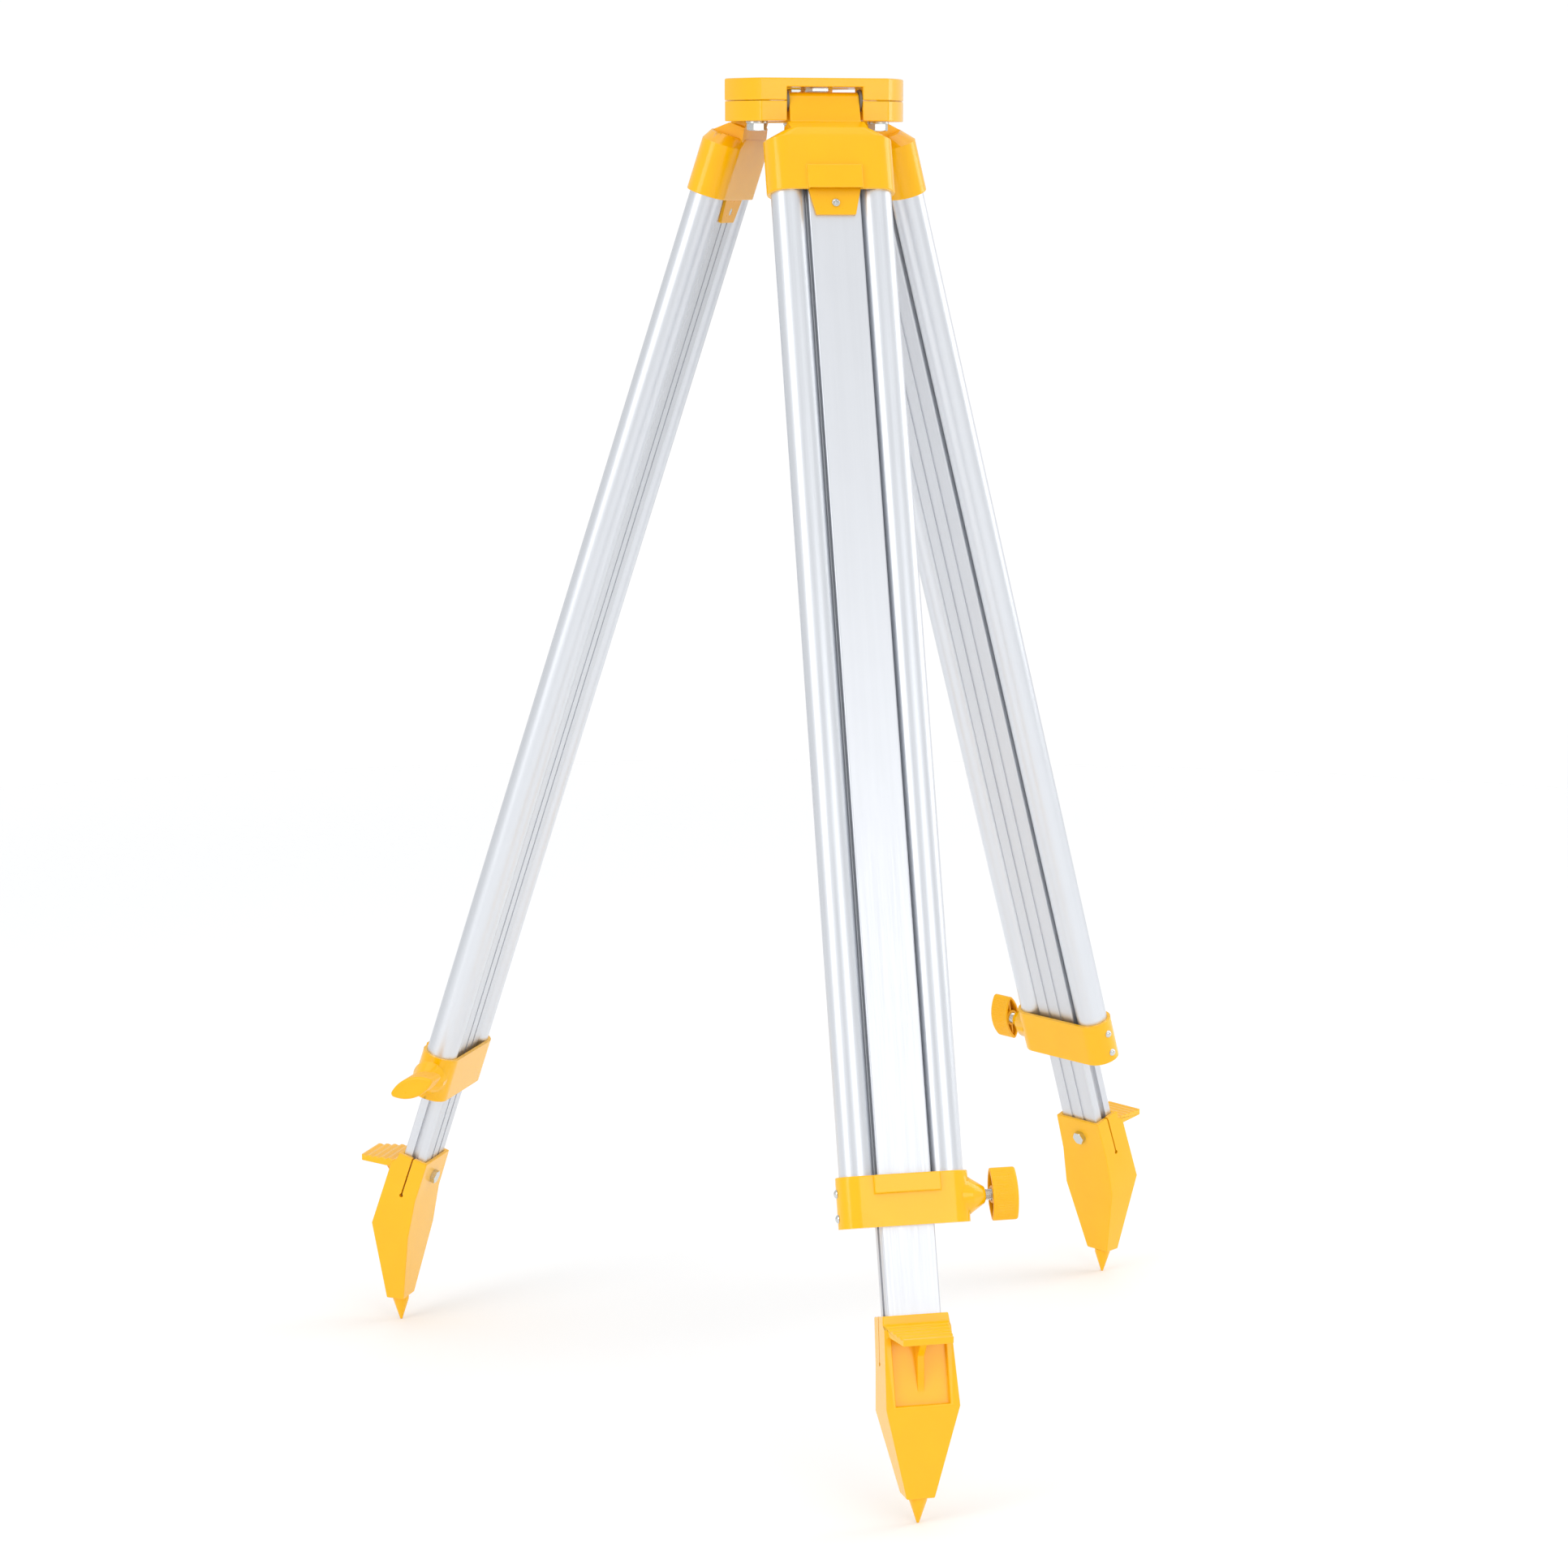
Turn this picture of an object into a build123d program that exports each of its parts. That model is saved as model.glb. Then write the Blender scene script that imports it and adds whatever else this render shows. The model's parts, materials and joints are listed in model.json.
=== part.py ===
from build123d import *
import os
from math import cos, radians, sin, sqrt

# Builder's tripod with a flat head and three telescopic aluminium legs.
# Millimetres and degrees. Origin on the head's axis at its top face, +Z up, front leg towards -Y.
# A leg is modelled hanging straight down from its hinge: X along the hinge pin towards the clamp
# knob, Y towards the head's axis, and "station" the distance down the leg from the pin.

# Head castings
head_corner_radius = 70.0
head_flat_apothem = 51.0
head_depth = 31.0
seam_depth = 16.2
seam_gap = 0.3
plate_thickness = 6.5
plate_edge_round = 1.2
centre_hole_radius = 29.0
cavity_radius = 38.0
corner_bolt_radius = 53.3

# Hinges
hinge_radius = 42.0
hinge_pin_radius = 3.5
hinge_pin_grip = 12.0
pin_fit = 0.05
knuckle_radius = 6.0
knuckle_width = 53.0
friction_washer_thickness = 1.9
friction_washer_radius = 8.0
washer_gap = 0.1

# Fasteners: shank radius, width across flats and height of each head
corner_bolt_shank = 4.0
corner_bolt_flats = 13.0
corner_bolt_head = 5.3
corner_washer_radius = 8.0
corner_washer_thickness = 1.6
bolt_hole_clearance = 0.4
thread_fit = 0.05
blind_hole_spare = 2.0

# Centring arm, its carriage and the 5/8 inch instrument screw
arm_pivot_offset = 33.0
arm_thickness = 2.6
arm_half_width = 9.0
arm_tip_half_width = 6.0
arm_reach = 35.0
arm_flat_spare = 1.5
arm_slope_run = 6.0
arm_gap = 0.3
pivot_shoulder_radius = 3.5
pivot_thread_radius = 3.0
pivot_thread_length = 4.5
pivot_head_radius = 6.0
pivot_head_height = 3.0
carriage_travel = 7.0
carriage_body_radius = 6.4
carriage_flange_radius = 8.5
carriage_flange_thickness = 2.0
running_fit = 0.05
slide_gap = 0.1
instrument_thread_radius = 7.94
instrument_thread_length = 17.0
instrument_shank_radius = 5.0
screw_lift = 17.0
thrust_washer_thickness = 1.5
thrust_washer_radius = 10.0
centring_knob_radius = 17.0
centring_knob_height = 19.0
centring_knob_lobes = 8
centring_knob_lobe_radius = 3.4

# Leg tubes and sliding bar
leg_splay = 18.4
leg_offset = 5.7
tube_radius = 12.5
tube_wall = 1.2
tube_length = 780.0
tongue_width = 4.6
tongue_reach = 2.4
tongue_gap = 0.5
bar_width = 39.0
bar_depth = 19.5
bar_wall = 1.4
bar_round = 1.2
bar_gap = 0.5
groove_depth = 3.1
flute_width = 3.0
flute_depth = 0.8
flute_spacing = 13.0
bar_shown = 62.2

# Hinge cap
socket_fit = 0.05
casting_wall = 2.75
cap_clearance = 12.2
cap_shoulder_height = 7.0
cap_shoulder_inset = 12.5
cap_height = 46.5
tube_socket_depth = 33.5
neck_width = 57.6
neck_clearance = 3.2
neck_thickness = 12.0
pad_width = 41.0
pad_height = 17.5
pad_proud = 2.4
pad_wall = 2.0
pad_round = 3.0

# Clamp ring, its knob and screw
ring_fit = 0.1
ring_height = 36.4
ring_web = 3.0
ring_end_gap = 2.8
ring_pad_width = 48.0
ring_pad_height = 13.0
rivet_radius = 2.0
rivet_head_radius = 3.2
rivet_head_height = 2.0
rivet_spacing = 17.5
rivet_drop = 2.0
boss_length = 11.5
boss_base_radius = 13.5
boss_tip_radius = 6.0
shoe_radius = 6.0
shoe_length = 5.0
shoe_fit = 0.05
clamp_screw_radius = 4.0
clamp_screw_shown = 5.0
knob_length = 40.0
knob_breadth = 16.5
knob_thickness = 19.0
knob_wall = 2.2
knob_hub_radius = 6.5
knob_rib = 2.0
knob_tip_round = 2.5
knob_turned = {"front": 0.0, "left": -50.0, "right": 8.0}

# Bar guide and its screws
guide_tab_thickness = 2.5
guide_bridge = 4.0
guide_tab_shown = 18.8
guide_tip_width = 29.5
guide_top_clearance = 0.5
guide_screw_radius = 2.0
guide_head_radius = 2.9
guide_head_height = 1.9
guide_screw_drop = 10.2
guide_pocket_clearance = 0.6

# Foot and spike
foot_cant = 18.4
foot_wall_side = 4.2
foot_wall_face = 3.0
foot_fit = 0.1
foot_socket_depth = 50.0
foot_hip_drop = 65.0
foot_hip_width = 53.3
foot_flange_proud = 4.0
foot_lip = 6.0
foot_length = 126.0
foot_tip_width = 19.7
foot_tip_depth = 15.0
foot_tip_offset = 14.9
slit_width = 1.3
slit_length = 33.0
slit_end_radius = 1.6
foot_bolt_radius = 3.0
foot_bolt_flats = 10.0
foot_bolt_head = 4.0
foot_bolt_drop = 16.5
tread_reach = 34.0
tread_thickness = 5.0
tread_root_thickness = 7.5
tread_tip_width = 36.0
tread_tooth_depth = 1.2
tread_teeth = 5
gusset_thickness = 5.0
gusset_reach = 24.0
gusset_drop = 58.0
spike_radius = 6.6
spike_collar = 3.0
spike_length = 20.5
spike_point_radius = 0.9
spike_tang_radius = 4.0
spike_tang_length = 14.0

# Places that follow from the sizes above
cap_top_station = head_depth - seam_depth + cap_clearance
neck_start_station = head_depth - seam_depth + neck_clearance
arm_flat_half = carriage_flange_radius + carriage_travel + arm_flat_spare
knuckle_slot_width = knuckle_width + 2 * (friction_washer_thickness + 2 * washer_gap)
leg_azimuth = {"front": 0.0, "left": -120.0, "right": 120.0}
corner_azimuth = {"right": 60.0, "rear": 180.0, "left": -60.0}
tube_spread = bar_width / 2 + bar_gap + tube_radius
shell_radius = tube_radius + socket_fit + casting_wall
shell_width = 2 * (tube_spread + shell_radius)
shell_depth = 2 * shell_radius
leg_face = leg_offset + shell_radius
cap_bottom_station = cap_top_station + cap_height
tube_top_station = cap_bottom_station - tube_socket_depth
tube_bottom_station = tube_top_station + tube_length
ring_bottom_station = tube_bottom_station + ring_end_gap + ring_web
ring_top_station = ring_bottom_station - ring_height
ring_middle_station = (ring_top_station + ring_bottom_station) / 2
foot_top_station = ring_bottom_station + bar_shown
foot_bottom_station = foot_top_station + foot_length
bar_bottom_station = foot_top_station + foot_socket_depth
guide_top_station = tube_top_station - guide_bridge - guide_top_clearance
bar_top_station = guide_top_station + guide_bridge
guide_bottom_station = cap_bottom_station + guide_tab_shown
guide_screw_station = cap_bottom_station + guide_screw_drop
bar_outer_face = leg_offset + bar_depth / 2
bar_inner_face = leg_offset - bar_depth / 2
foot_width = bar_width + 2 * (foot_fit + foot_wall_side)
foot_outer_face = bar_outer_face + foot_fit + foot_wall_face
foot_inner_face = bar_inner_face - foot_fit - foot_wall_face
foot_flange_face = foot_outer_face + foot_flange_proud
foot_tip_centre = foot_inner_face - foot_tip_offset + foot_tip_depth / 2 + foot_wall_face
arm_top = -plate_thickness - arm_gap
carriage_top = -instrument_thread_length - slide_gap
arm_flat_top = carriage_top - carriage_flange_thickness - slide_gap
carriage_bottom = arm_flat_top - arm_thickness - slide_gap - carriage_flange_thickness
thrust_washer_top = carriage_bottom - screw_lift
centring_knob_top = thrust_washer_top - thrust_washer_thickness


def prism(outline, top, bottom):
    """Extrude an outline between two stations of a leg."""
    return Pos(0, 0, -bottom) * extrude(outline, bottom - top)


def leg_block(width, inner, outer, top, bottom, corner=0.0):
    """Box in a leg between two faces, each given by its distance outwards from the pin."""
    outline = Rectangle(width, outer - inner)
    if corner > 0:
        outline = fillet(outline.vertices(), corner)
    return prism(Pos(0, -(inner + outer) / 2) * outline, top, bottom)


def stadium(width, depth):
    """Round-ended outline centred on the plane of a leg's tubes."""
    return Pos(0, -leg_offset) * SlotOverall(width, depth)


def rod_x(radius, start, end):
    """Cylinder along X between two places on it."""
    return Pos((start + end) / 2, 0, 0) * Rot(0, 90, 0) * Cylinder(radius, end - start)


def rod_y(radius, start, end):
    """Cylinder along Y between two places on it."""
    return Pos(0, (start + end) / 2, 0) * Rot(90, 0, 0) * Cylinder(radius, end - start)


def rod_z(radius, low, high):
    """Cylinder along Z between two heights."""
    return Pos(0, 0, (low + high) / 2) * Cylinder(radius, high - low)


def side_plate(points, width):
    """Plate of a given width across X, from an outline in distance outwards and station."""
    outline = Polygon(*[(-outwards, -station) for outwards, station in points], align=None)
    face = Plane(origin=(0, 0, 0), x_dir=(0, 1, 0), z_dir=(1, 0, 0)) * outline
    return extrude(face, width / 2, both=True)


def front_plate(points, depth):
    """Plate of a given depth across Y, symmetric about X = 0, from half widths and stations."""
    right = [(half, -station) for half, station in points]
    left = [(-half, -station) for half, station in reversed(points)]
    face = Plane.XZ * Polygon(*(right + left), align=None)
    return extrude(face, depth, both=True)


def hexagon(across_flats, height):
    """Hex head standing up from Z = 0, with its top corners turned off."""
    corner = across_flats / sqrt(3)
    head = extrude(RegularPolygon(corner, 6), height)
    cone = Pos(0, 0, height / 2) * Cone(corner + height, corner - 0.5, height)
    return head & cone


def at_leg(leg, shape):
    """Put a leg's piece in place, splayed as the tripod stands."""
    hinge = Rot(0, 0, leg_azimuth[leg]) * Pos(0, -hinge_radius, -seam_depth)
    return hinge * Rot(-leg_splay, 0, 0) * shape


# ---------------------------------------------------------------- head

def head_outline():
    """Round corners joined by a flat at each hinge."""
    outline = Circle(head_corner_radius)
    for azimuth in leg_azimuth.values():
        beyond = Pos(0, -head_flat_apothem - head_corner_radius) * Rectangle(
            4 * head_corner_radius, 2 * head_corner_radius)
        outline -= Rot(0, 0, azimuth) * beyond
    return outline


def knuckle_slot(top, bottom):
    """Opening for one knuckle, from the cavity out through the head's flat."""
    outline = Pos(0, -head_corner_radius / 2) * Rectangle(knuckle_slot_width, head_corner_radius)
    return Pos(0, 0, bottom) * extrude(outline, top - bottom)


def pin_groove():
    """Seat of one hinge pin, shared by the castings above and below the seam."""
    half = knuckle_slot_width / 2 + hinge_pin_grip + washer_gap
    return Pos(0, -hinge_radius, -seam_depth) * rod_x(hinge_pin_radius + thread_fit, -half, half)


def cut_hinges(casting, top, bottom):
    """Cut the three knuckle slots and pin grooves from a casting."""
    for azimuth in leg_azimuth.values():
        casting -= Rot(0, 0, azimuth) * knuckle_slot(top, bottom)
        casting -= Rot(0, 0, azimuth) * pin_groove()
    return casting


def at_corner(corner, shape):
    """Put a shape at one of the corner bolts."""
    return Rot(0, 0, corner_azimuth[corner]) * Pos(0, -corner_bolt_radius, 0) * shape


def head_plate():
    seam = -seam_depth + seam_gap / 2
    plate = Pos(0, 0, seam) * extrude(head_outline(), -seam)
    plate = fillet(plate.edges().group_by(Axis.Z)[-1], plate_edge_round)
    plate -= rod_z(cavity_radius, seam - 1, -plate_thickness)
    plate -= rod_z(centre_hole_radius, seam - 1, 1)
    plate = cut_hinges(plate, -plate_thickness, seam - 1)
    eye = arm_half_width + 2 * arm_gap
    plate -= Pos(0, arm_pivot_offset, 0) * rod_z(eye, arm_top - 2 * pivot_head_radius, -plate_thickness)
    pivot_hole = rod_z(pivot_thread_radius + thread_fit, arm_top, pivot_thread_length - plate_thickness)
    plate -= Pos(0, arm_pivot_offset, 0) * pivot_hole
    bolt_hole = rod_z(corner_bolt_shank + thread_fit, seam - 1, -plate_thickness + blind_hole_spare)
    for corner in corner_azimuth:
        plate -= at_corner(corner, bolt_hole)
    return plate


def clamp_block(corner):
    """One of the three corner pieces under the seam."""
    seam = -seam_depth - seam_gap / 2
    block = Pos(0, 0, -head_depth) * extrude(head_outline(), seam + head_depth)
    block -= rod_z(cavity_radius, -head_depth - 1, seam + 1)
    block = cut_hinges(block, seam + 1, -head_depth - 1)
    block = max(block.solids(), key=lambda piece: toward_corner(piece, corner))
    hole = rod_z(corner_bolt_shank + bolt_hole_clearance, -head_depth - 1, seam + 1)
    return block - at_corner(corner, hole)


def toward_corner(piece, corner):
    """How far a solid's centre lies in the direction of a corner."""
    turn = radians(corner_azimuth[corner])
    centre = piece.center()
    return centre.X * sin(turn) - centre.Y * cos(turn)


def corner_bolt():
    under_head = -head_depth - corner_washer_thickness
    shank = rod_z(corner_bolt_shank, under_head, -plate_thickness + blind_hole_spare / 2)
    return shank + Pos(0, 0, under_head) * Rot(180, 0, 0) * hexagon(corner_bolt_flats, corner_bolt_head)


def corner_washer():
    washer = rod_z(corner_washer_radius, -head_depth - corner_washer_thickness, -head_depth)
    return washer - rod_z(corner_bolt_shank + thread_fit, -head_depth * 2, 0)


def hinge_pin():
    half = knuckle_slot_width / 2 + hinge_pin_grip
    return Pos(0, -hinge_radius, -seam_depth) * rod_x(hinge_pin_radius, -half, half)


def friction_washers():
    inner = knuckle_width / 2 + washer_gap
    washer = rod_x(friction_washer_radius, inner, inner + friction_washer_thickness)
    washer -= rod_x(hinge_pin_radius + pin_fit, 0, inner + 2 * friction_washer_thickness)
    pair = washer + mirror(washer, Plane.YZ)
    return Pos(0, -hinge_radius, -seam_depth) * pair


# ---------------------------------------------------------------- centring gear

def pivot_screw():
    under_arm = arm_top - arm_thickness - slide_gap
    screw = rod_z(pivot_thread_radius, -plate_thickness, pivot_thread_length - plate_thickness - 0.5)
    screw += rod_z(pivot_shoulder_radius, under_arm, -plate_thickness)
    screw += rod_z(pivot_head_radius, under_arm - pivot_head_height, under_arm)
    slot = Pos(0, 0, under_arm - pivot_head_height) * Box(3 * pivot_head_radius, 1.4, 2.4)
    return Pos(0, arm_pivot_offset, 0) * (screw - slot)


def centring_arm():
    """Joggled strap: its ends bear under the plate and its slotted middle hangs lower."""
    high = arm_top - arm_thickness / 2
    low = arm_flat_top - arm_thickness / 2
    bend = arm_flat_half + arm_slope_run
    back = arm_pivot_offset + arm_half_width
    middle = [(-arm_reach, high), (-bend, high), (-arm_flat_half, low)]
    middle += [(arm_flat_half, low), (bend, high), (back, high)]
    path = Polyline(*middle)
    ribbon = offset(path, arm_thickness / 2, kind=Kind.INTERSECTION, side=Side.BOTH)
    section = Plane(origin=(0, 0, 0), x_dir=(0, 1, 0), z_dir=(1, 0, 0)) * make_face(ribbon)
    arm = extrude(section, arm_half_width, both=True)
    plan = Pos(0, arm_pivot_offset) * Circle(arm_half_width)
    plan += Polygon((arm_half_width, arm_pivot_offset), (-arm_half_width, arm_pivot_offset),
                    (-arm_half_width, -arm_flat_half), (-arm_tip_half_width, -arm_reach),
                    (arm_tip_half_width, -arm_reach), (arm_half_width, -arm_flat_half), align=None)
    arm &= Pos(0, 0, -head_depth) * extrude(plan, head_depth)
    slot_width = 2 * (carriage_body_radius + slide_gap)
    slot = Rot(0, 0, 90) * SlotOverall(slot_width + 2 * carriage_travel, slot_width)
    arm -= Pos(0, 0, -head_depth) * extrude(slot, head_depth)
    return arm - Pos(0, arm_pivot_offset, 0) * rod_z(pivot_shoulder_radius + running_fit, -head_depth, 0)


def carriage_bush():
    bush = rod_z(carriage_body_radius, carriage_bottom, carriage_top)
    bush += rod_z(carriage_flange_radius, carriage_top - carriage_flange_thickness, carriage_top)
    bush += rod_z(carriage_flange_radius, carriage_bottom, carriage_bottom + carriage_flange_thickness)
    return bush - rod_z(instrument_shank_radius + running_fit, carriage_bottom - 1, carriage_top + 1)


def thrust_washer():
    washer = rod_z(thrust_washer_radius, centring_knob_top, thrust_washer_top)
    return washer - rod_z(instrument_shank_radius + running_fit, centring_knob_top - 1, thrust_washer_top + 1)


def instrument_screw():
    """Thread flush with the head's face, resting on the carriage until it is pushed up."""
    screw = rod_z(instrument_thread_radius, -instrument_thread_length, 0)
    return screw + rod_z(instrument_shank_radius, centring_knob_top - centring_knob_height / 2, 0)


def centring_knob():
    outline = Circle(centring_knob_radius)
    for lobe in range(centring_knob_lobes):
        turn = Rot(0, 0, 360 * lobe / centring_knob_lobes)
        outline -= turn * Pos(centring_knob_radius + 1.6, 0) * Circle(centring_knob_lobe_radius)
    grip = centring_knob_top - centring_knob_height
    knob = Pos(0, 0, grip) * extrude(outline, centring_knob_height)
    knob = chamfer(knob.edges().group_by(Axis.Z)[0], 1.0)
    seat = centring_knob_top - centring_knob_height / 2 - 0.2
    return knob - rod_z(instrument_shank_radius + thread_fit, seat, centring_knob_top + 1)


# ---------------------------------------------------------------- upper leg

def tube_seats(radius, top, bottom):
    """The space that both tubes and the flat between them fill."""
    return prism(stadium(2 * (tube_spread + radius), 2 * radius), top, bottom)


def pad(width, top, bottom):
    """Hollow swelling on a casting's outward face, over the bar guide's tab and screw."""
    return leg_block(width, leg_offset, leg_face + pad_proud, top, bottom)


def pad_pocket(width, top, bottom):
    inner = width - 2 * pad_wall
    return leg_block(inner, leg_offset, leg_face + pad_proud - pad_wall, top, bottom)


def hinge_cap():
    full = stadium(shell_width, shell_depth)
    crown = stadium(shell_width - 2 * cap_shoulder_inset, shell_depth - 3.0)
    shoulder_station = cap_top_station + cap_shoulder_height
    cap = loft([Pos(0, 0, -shoulder_station) * full, Pos(0, 0, -cap_top_station) * crown])
    cap += prism(full, shoulder_station, cap_bottom_station)
    cap += rod_x(knuckle_radius, -knuckle_width / 2, knuckle_width / 2)
    half = neck_thickness / 2
    cap += leg_block(knuckle_width, -half, half, 0, cap_top_station + 2)
    back = leg_offset - shell_radius
    flare = [(-half, neck_start_station), (half, neck_start_station), (leg_face - 1.5, cap_top_station + 2),
             (leg_face - 1.5, cap_top_station + 4), (back + 1.5, cap_top_station + 4),
             (back + 1.5, cap_top_station + 2)]
    cap += side_plate(flare, neck_width)
    pad_top = cap_bottom_station - pad_height
    cap += pad(pad_width, pad_top, cap_bottom_station)
    cap -= tube_seats(tube_radius + socket_fit, tube_top_station, cap_bottom_station + 1)
    cap -= pad_pocket(pad_width, pad_top + pad_wall, cap_bottom_station + 1)
    room = guide_tab_thickness + guide_pocket_clearance
    cap -= leg_block(bar_width + 2 * bar_gap, bar_inner_face - room, bar_outer_face + room,
                     guide_top_station - guide_top_clearance, cap_bottom_station + 1)
    return cap - rod_x(hinge_pin_radius + pin_fit, -knuckle_width, knuckle_width)


def outer_tube(side):
    """Tube with a tongue that runs in the bar's groove; side is +1 at the knob, -1 at the rivets."""
    outline = Circle(tube_radius)
    tongue = tube_radius + tongue_reach
    outline += Pos(-side * tongue / 2, 0) * Rectangle(tongue, tongue_width)
    outline -= Circle(tube_radius - tube_wall)
    tube = prism(Pos(side * tube_spread, -leg_offset) * outline, tube_top_station, tube_bottom_station)
    if side > 0:
        return tube
    for place in rivet_places():
        tube -= place * rod_x(rivet_radius + thread_fit, -shell_width, -tube_spread)
    return tube


def clamp_boss():
    """Tapered boss on the ring's end that carries the clamp screw."""
    end = shell_width / 2
    root = end - shell_radius / 2
    boss = Pos(end + boss_length / 2, 0, 0) * Rot(0, 90, 0) * Cone(
        boss_base_radius, boss_tip_radius, boss_length)
    return boss + rod_x(boss_base_radius, root, end)


def clamp_ring():
    full = stadium(shell_width, shell_depth)
    ring = prism(full, ring_top_station, ring_bottom_station)
    middle = Pos(0, -leg_offset, -ring_middle_station)
    ring += middle * clamp_boss()
    pad_bottom = ring_top_station + ring_pad_height
    ring += pad(ring_pad_width, ring_top_station, pad_bottom)
    ring -= tube_seats(tube_radius + ring_fit, ring_top_station - 1, ring_bottom_station - ring_web)
    ring -= pad_pocket(ring_pad_width, ring_top_station - 1, pad_bottom - pad_wall)
    ring -= leg_block(bar_width + 2 * bar_gap, bar_inner_face - bar_gap, bar_outer_face + bar_gap,
                      ring_top_station, ring_bottom_station + 1, bar_round)
    seat = tube_spread + tube_radius / 2
    ring -= middle * rod_x(shoe_radius + shoe_fit, seat, shoe_end() + shoe_fit)
    ring -= middle * rod_x(clamp_screw_radius + running_fit, seat, shell_width)
    rivet_hole = rod_x(rivet_radius + thread_fit, -shell_width, -tube_spread)
    for place in rivet_places():
        ring -= place * rivet_hole
    return ring


def shoe_end():
    """Place along the pin direction where the pressure shoe meets the clamp screw."""
    return tube_spread + sqrt(tube_radius ** 2 - shoe_radius ** 2) + shoe_length


def pressure_shoe():
    shoe = rod_x(shoe_radius, tube_spread + tube_radius / 2, shoe_end())
    shoe -= Pos(tube_spread, 0, 0) * Cylinder(tube_radius + shoe_fit, 4 * shoe_radius)
    return Pos(0, -leg_offset, -ring_middle_station) * shoe


def rivet_places():
    """The two rivets at the end of the ring away from the knob."""
    stations = [ring_middle_station + rivet_drop + side * rivet_spacing / 2 for side in (-1, 1)]
    return [Pos(0, -leg_offset, -station) for station in stations]


def clamp_rivets():
    end = -shell_width / 2
    inside = -tube_spread - tube_radius + tube_wall / 2
    dome = (rivet_head_radius ** 2 + rivet_head_height ** 2) / (2 * rivet_head_height)
    head = Pos(end - rivet_head_height + dome, 0, 0) * Sphere(dome)
    head &= rod_x(rivet_head_radius + 1, end - rivet_head_height - 1, end)
    rivet = head + rod_x(rivet_radius, end, inside)
    return [place * rivet for place in rivet_places()]


def clamp_axis(leg):
    """Middle of the ring on the clamp screw's axis, turned as that leg's knob was left."""
    return Pos(0, -leg_offset, -ring_middle_station) * Rot(knob_turned[leg], 0, 0)


def clamp_screw(leg):
    knob_face = shell_width / 2 + boss_length + clamp_screw_shown
    tip = shoe_end() + slide_gap
    screw = rod_x(clamp_screw_radius, tip, knob_face + knob_thickness - 2 * knob_wall)
    return clamp_axis(leg) * screw


def leaf(length, breadth):
    """Pointed oval made of two equal arcs, with its tips rounded, in the YZ plane."""
    radius = (length ** 2 + breadth ** 2) / (4 * breadth)
    shift = radius - breadth / 2
    outline = Pos(shift, 0) * Circle(radius) & Pos(-shift, 0) * Circle(radius)
    outline = fillet(outline.vertices(), knob_tip_round)
    return Plane(origin=(0, 0, 0), x_dir=(0, 1, 0), z_dir=(1, 0, 0)) * outline


def clamp_knob(leg):
    """Wing knob, closed outside and open towards the ring, with a hub and ribs."""
    knob_face = shell_width / 2 + boss_length + clamp_screw_shown
    grip = extrude(leaf(knob_length, knob_breadth), knob_thickness)
    grip = fillet(grip.faces().sort_by(Axis.X)[-1].edges(), 1.0)
    hollow = extrude(leaf(knob_length - 2 * knob_wall, knob_breadth - 2 * knob_wall), knob_thickness - knob_wall)
    core = rod_x(knob_hub_radius, 0, knob_thickness - knob_wall / 2)
    core += Pos(knob_thickness / 2, 0, 0) * Box(knob_thickness - 2 * knob_wall, knob_rib, knob_length)
    outer = extrude(leaf(knob_length, knob_breadth), knob_thickness)
    knob = grip - hollow + (core & outer)
    knob -= rod_x(clamp_screw_radius + thread_fit, -1, knob_thickness - 2 * knob_wall)
    return clamp_axis(leg) * Pos(knob_face, 0, 0) * knob


# ---------------------------------------------------------------- lower leg

def side_groove():
    """Mouth of the groove that a tube's tongue runs in, centred on the bar's edge."""
    return Rectangle(2 * groove_depth, tongue_width + 2 * tongue_gap)


def bar_outline():
    outline = fillet(Rectangle(bar_width, bar_depth).vertices(), bar_round)
    for side in (-1, 1):
        outline -= Pos(side * bar_width / 2, 0) * side_groove()
        outline -= Pos(side * flute_spacing / 2, bar_depth / 2) * Rectangle(flute_width, 2 * flute_depth)
    return outline


def bar_cells():
    """Three cells inside the extrusion, clear of the side grooves."""
    depth = bar_depth - 2 * (bar_wall + flute_depth)
    reach = bar_width / 2 - groove_depth - bar_wall
    width = (2 * reach - 2 * bar_wall) / 3
    cells = [Pos(place * (width + bar_wall), 0) * Rectangle(width, depth) for place in (-1, 0, 1)]
    return cells[0] + cells[1] + cells[2]


def sliding_bar():
    outline = Pos(0, -leg_offset) * (bar_outline() - bar_cells())
    bar = prism(outline, bar_top_station, bar_bottom_station)
    bolt = Pos(0, 0, -foot_top_station - foot_bolt_drop)
    bar -= bolt * rod_y(foot_bolt_radius + bolt_hole_clearance / 2, -bar_outer_face - 1, -bar_inner_face + 1)
    screw = Pos(0, 0, -guide_screw_station)
    return bar - screw * rod_y(guide_screw_radius + thread_fit, -bar_outer_face - 1, -bar_inner_face + 1)


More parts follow.
